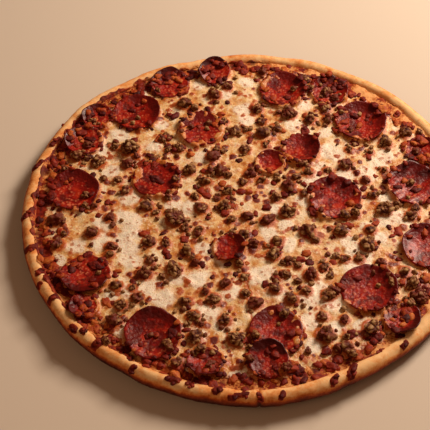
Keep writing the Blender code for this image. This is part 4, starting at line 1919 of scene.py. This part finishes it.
@dataclass
class CaramelBits(LumpGroup):
    """Caramelised drops of sauce and cheese along the rim, round the slices and between the toppings."""

    seed: int = 41
    rim_drops: int = 460
    slice_drops: int = 13
    drip_drops: int = 2
    loose_drops: int = 380
    rim_reach: float = 160.5
    rim_scatter: float = 4.0
    rim_limit: float = 167.5
    drawn_in: float = 4.5 * MM
    drawn_bearings: tuple = (-58.0, 75.0)
    loose_spread: float = 156.0 * MM
    coarse: float = 6.3 * MM
    reach_limit: float = 167.0 * MM
    lowest: float = 15.0 * MM
    finish: Finish = CaramelisedBits("caramelised bits")

    def surface(self, ways: np.ndarray, lump: Lump) -> tuple[np.ndarray, np.ndarray]:
        """Makes one drop uneven.

        Args:
            ways: directions from its middle.
            lump: the lump.

        Returns:
            The distance from the middle for each direction, as a share of its size, and the relief layer.
        """
        places = ways + np.array(lump.offset)
        reach = 0.95 + 0.55 * soft_noise(places, 0.80, 7) + 0.26 * soft_noise(places, 0.40, 8)
        return reach, 0.5 + 0.5 * soft_noise(places, 0.5, 9)

    def lay(
        self, surface: Surface, x: float, y: float, width: float, tone: float, draw: random.Random,
    ) -> None:
        """Lays one drop on the surface, unless the place is down the side of the rim.

        Args:
            surface: what it lies on.
            x: where it lies, in metres.
            y: where it lies, in metres.
            width: its width, in metres.
            tone: how light it is, from 0 to 1.
            draw: the seeded random source.
        """
        half = 0.5 * width
        size = (half * draw.uniform(1.0, 1.5), half, half * draw.uniform(0.34, 0.56))
        height = surface.height(x, y)
        if height < self.lowest:
            return
        self.lumps.append(Lump(
            middle=(x, y, min(height + 0.04 * half, self.ceiling - 0.9 * size[2])),
            size=size,
            turn=draw.uniform(0.0, math.tau),
            offset=(draw.uniform(0.0, 9.0), draw.uniform(0.0, 9.0), draw.uniform(0.0, 9.0)),
            divisions=3 if width > self.coarse else 2,
            tone=tone,
        ))

    def build_on(self, surface: Surface, form: BreadForm) -> bpy.types.Object:
        """Makes the drops.

        Args:
            surface: what they lie on.
            form: the bread's form, for the rim's outline.

        Returns:
            The piece.
        """
        draw = random.Random(self.seed)
        for _ in range(self.rim_drops):
            bearing = draw.uniform(-180.0, 180.0)
            reach = min(draw.gauss(self.rim_reach, self.rim_scatter), self.rim_limit) * MM
            reach += 0.6 * float(form.swelling(np.array(bearing)))
            if self.drawn_bearings[0] < bearing < self.drawn_bearings[1]:
                reach -= self.drawn_in
            x, y = polar(reach, math.radians(bearing))
            self.lay(surface, x, y, draw.uniform(2.8, 7.4) * MM, draw.uniform(0.05, 0.75), draw)
        for drip in DRIPS:
            for step in range(self.drip_drops):
                share = (step + draw.random()) / self.drip_drops
                x = (drip.start_x + (drip.end_x - drip.start_x) * share + draw.gauss(0.0, 0.6)) * MM
                y = (drip.start_y + (drip.end_y - drip.start_y) * share + draw.gauss(0.0, 0.6)) * MM
                width = draw.uniform(0.9, 1.6) * drip.half_width * MM
                self.lay(surface, x, y, width, draw.uniform(0.0, 0.45), draw)
        for piece in SLICES:
            for _ in range(self.slice_drops):
                turn = draw.uniform(0.0, math.tau)
                reach = 0.5 * piece.diameter + draw.gauss(0.6, 1.3) * MM
                x, y = polar(reach, turn, piece.x, piece.y)
                if math.hypot(x, y) < self.reach_limit:
                    self.lay(surface, x, y, draw.uniform(2.0, 5.2) * MM, draw.uniform(0.0, 0.6), draw)
        for _ in range(self.loose_drops):
            reach = self.loose_spread * math.sqrt(draw.random())
            x, y = polar(reach, draw.uniform(0.0, math.tau))
            if not on_pale_cheese(x, y):
                self.lay(surface, x, y, draw.uniform(2.6, 7.2) * MM, draw.uniform(0.05, 0.7), draw)
        return self.gather("caramelised_bits", self.finish, Slot.SAUCE)


@dataclass
class Studio:
    """The floor, the light and the camera of the photograph."""

    floor_size: float = 6.0
    camera_target: tuple = (-25.75 * MM, 5.62 * MM, 0.0)
    camera_elevation: float = 49.38
    camera_roll: float = -0.99
    camera_distance: float = 975.39 * MM
    field_of_view: float = 20.0
    sensor: float = 36.0
    surround_colour: str = "#F5B890"
    surround_strength: float = 0.12
    nearest_seen: float = 0.05

    def floor(self) -> None:
        """Lays the floor under the pizza."""
        shape = bmesh.new()
        bmesh.ops.create_grid(shape, x_segments=1, y_segments=1, size=self.floor_size / 2.0)
        mesh = bpy.data.meshes.new("studio_floor")
        shape.to_mesh(mesh)
        shape.free()
        mesh.materials.append(PaintedFloor("matt painted floor").material())
        floor = bpy.data.objects.new("studio_floor", mesh)
        bpy.context.scene.collection.objects.link(floor)

    def lamp(
        self,
        name: str,
        place: tuple[float, float, float],
        power: float,
        size: float,
        colour: str,
        glares: bool,
    ) -> None:
        """Hangs one square soft light that points at the pizza.

        Args:
            name: the light's name.
            place: where it hangs, in metres.
            power: watts.
            size: its side, in metres.
            colour: sRGB hex colour.
            glares: whether shiny surfaces mirror it.
        """
        light = bpy.data.lights.new(name, "AREA")
        light.energy = power
        light.size = size
        light.color = linear(colour)[:3]
        lamp = bpy.data.objects.new(name, light)
        lamp.location = place
        lamp.rotation_euler = Vector(place).to_track_quat("Z", "Y").to_euler()
        lamp.visible_glossy = glares
        bpy.context.scene.collection.objects.link(lamp)

    def light(self) -> None:
        """Sets a key light behind to the right, a weak fill in front and a dim surround."""
        self.lamp("key", (0.74, 0.62, 0.80), 19.5, 0.42, "#FFE8D4", True)
        self.lamp("fill", (-0.7, -0.8, 0.9), 1.9, 0.9, "#FFC89C", False)
        world = bpy.data.worlds.new("surround")
        world.use_nodes = True
        background = world.node_tree.nodes["Background"]
        background.inputs["Color"].default_value = linear(self.surround_colour)
        background.inputs["Strength"].default_value = self.surround_strength
        bpy.context.scene.world = world

    def camera(self) -> None:
        """Sets the camera at the photograph's angle, distance and width of view."""
        elevation, roll = math.radians(self.camera_elevation), math.radians(self.camera_roll)
        back = Vector((0.0, -math.cos(elevation), math.sin(elevation)))
        level_up = Vector((0.0, math.sin(elevation), math.cos(elevation)))
        right = math.cos(roll) * Vector((1.0, 0.0, 0.0)) + math.sin(roll) * level_up
        up = back.cross(right)
        place = Vector(self.camera_target) + back * self.camera_distance
        data = bpy.data.cameras.new("camera")
        data.sensor_width = self.sensor
        data.lens = 0.5 * self.sensor / math.tan(math.radians(self.field_of_view / 2.0))
        data.clip_start = self.nearest_seen
        camera = bpy.data.objects.new("camera", data)
        turn = Matrix((right, up, back)).transposed().to_4x4()
        camera.matrix_world = Matrix.Translation(place) @ turn
        bpy.context.scene.collection.objects.link(camera)
        bpy.context.scene.camera = camera

    def build(self) -> None:
        """Sets up the floor, the light, the camera and the plain colour rendering."""
        self.floor()
        self.light()
        self.camera()
        bpy.context.scene.view_settings.view_transform = "Standard"


def main() -> None:
    """Builds the pieces from the crust up."""
    logging.basicConfig(level=logging.INFO, format="%(relativeCreated)d ms %(message)s")
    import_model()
    form = BreadForm()
    surface = Surface()
    surface.add(Crust(form).build())
    surface.add(RimSauce(form).build())
    slices = [PepperoniSlice(piece, number) for number, piece in enumerate(SLICES, start=1)]
    cured = CuredPepperoni("cured pepperoni").material()
    for cut in slices:
        surface.add(cut.build(cured))
    surface.add(CheeseLayer(slices).build())
    SausageCrumbles().build()
    SausageCrumbs().build_on(surface)
    CaramelBits().build_on(surface, form)
    Studio().build()


if __name__ == "__main__":
    main()
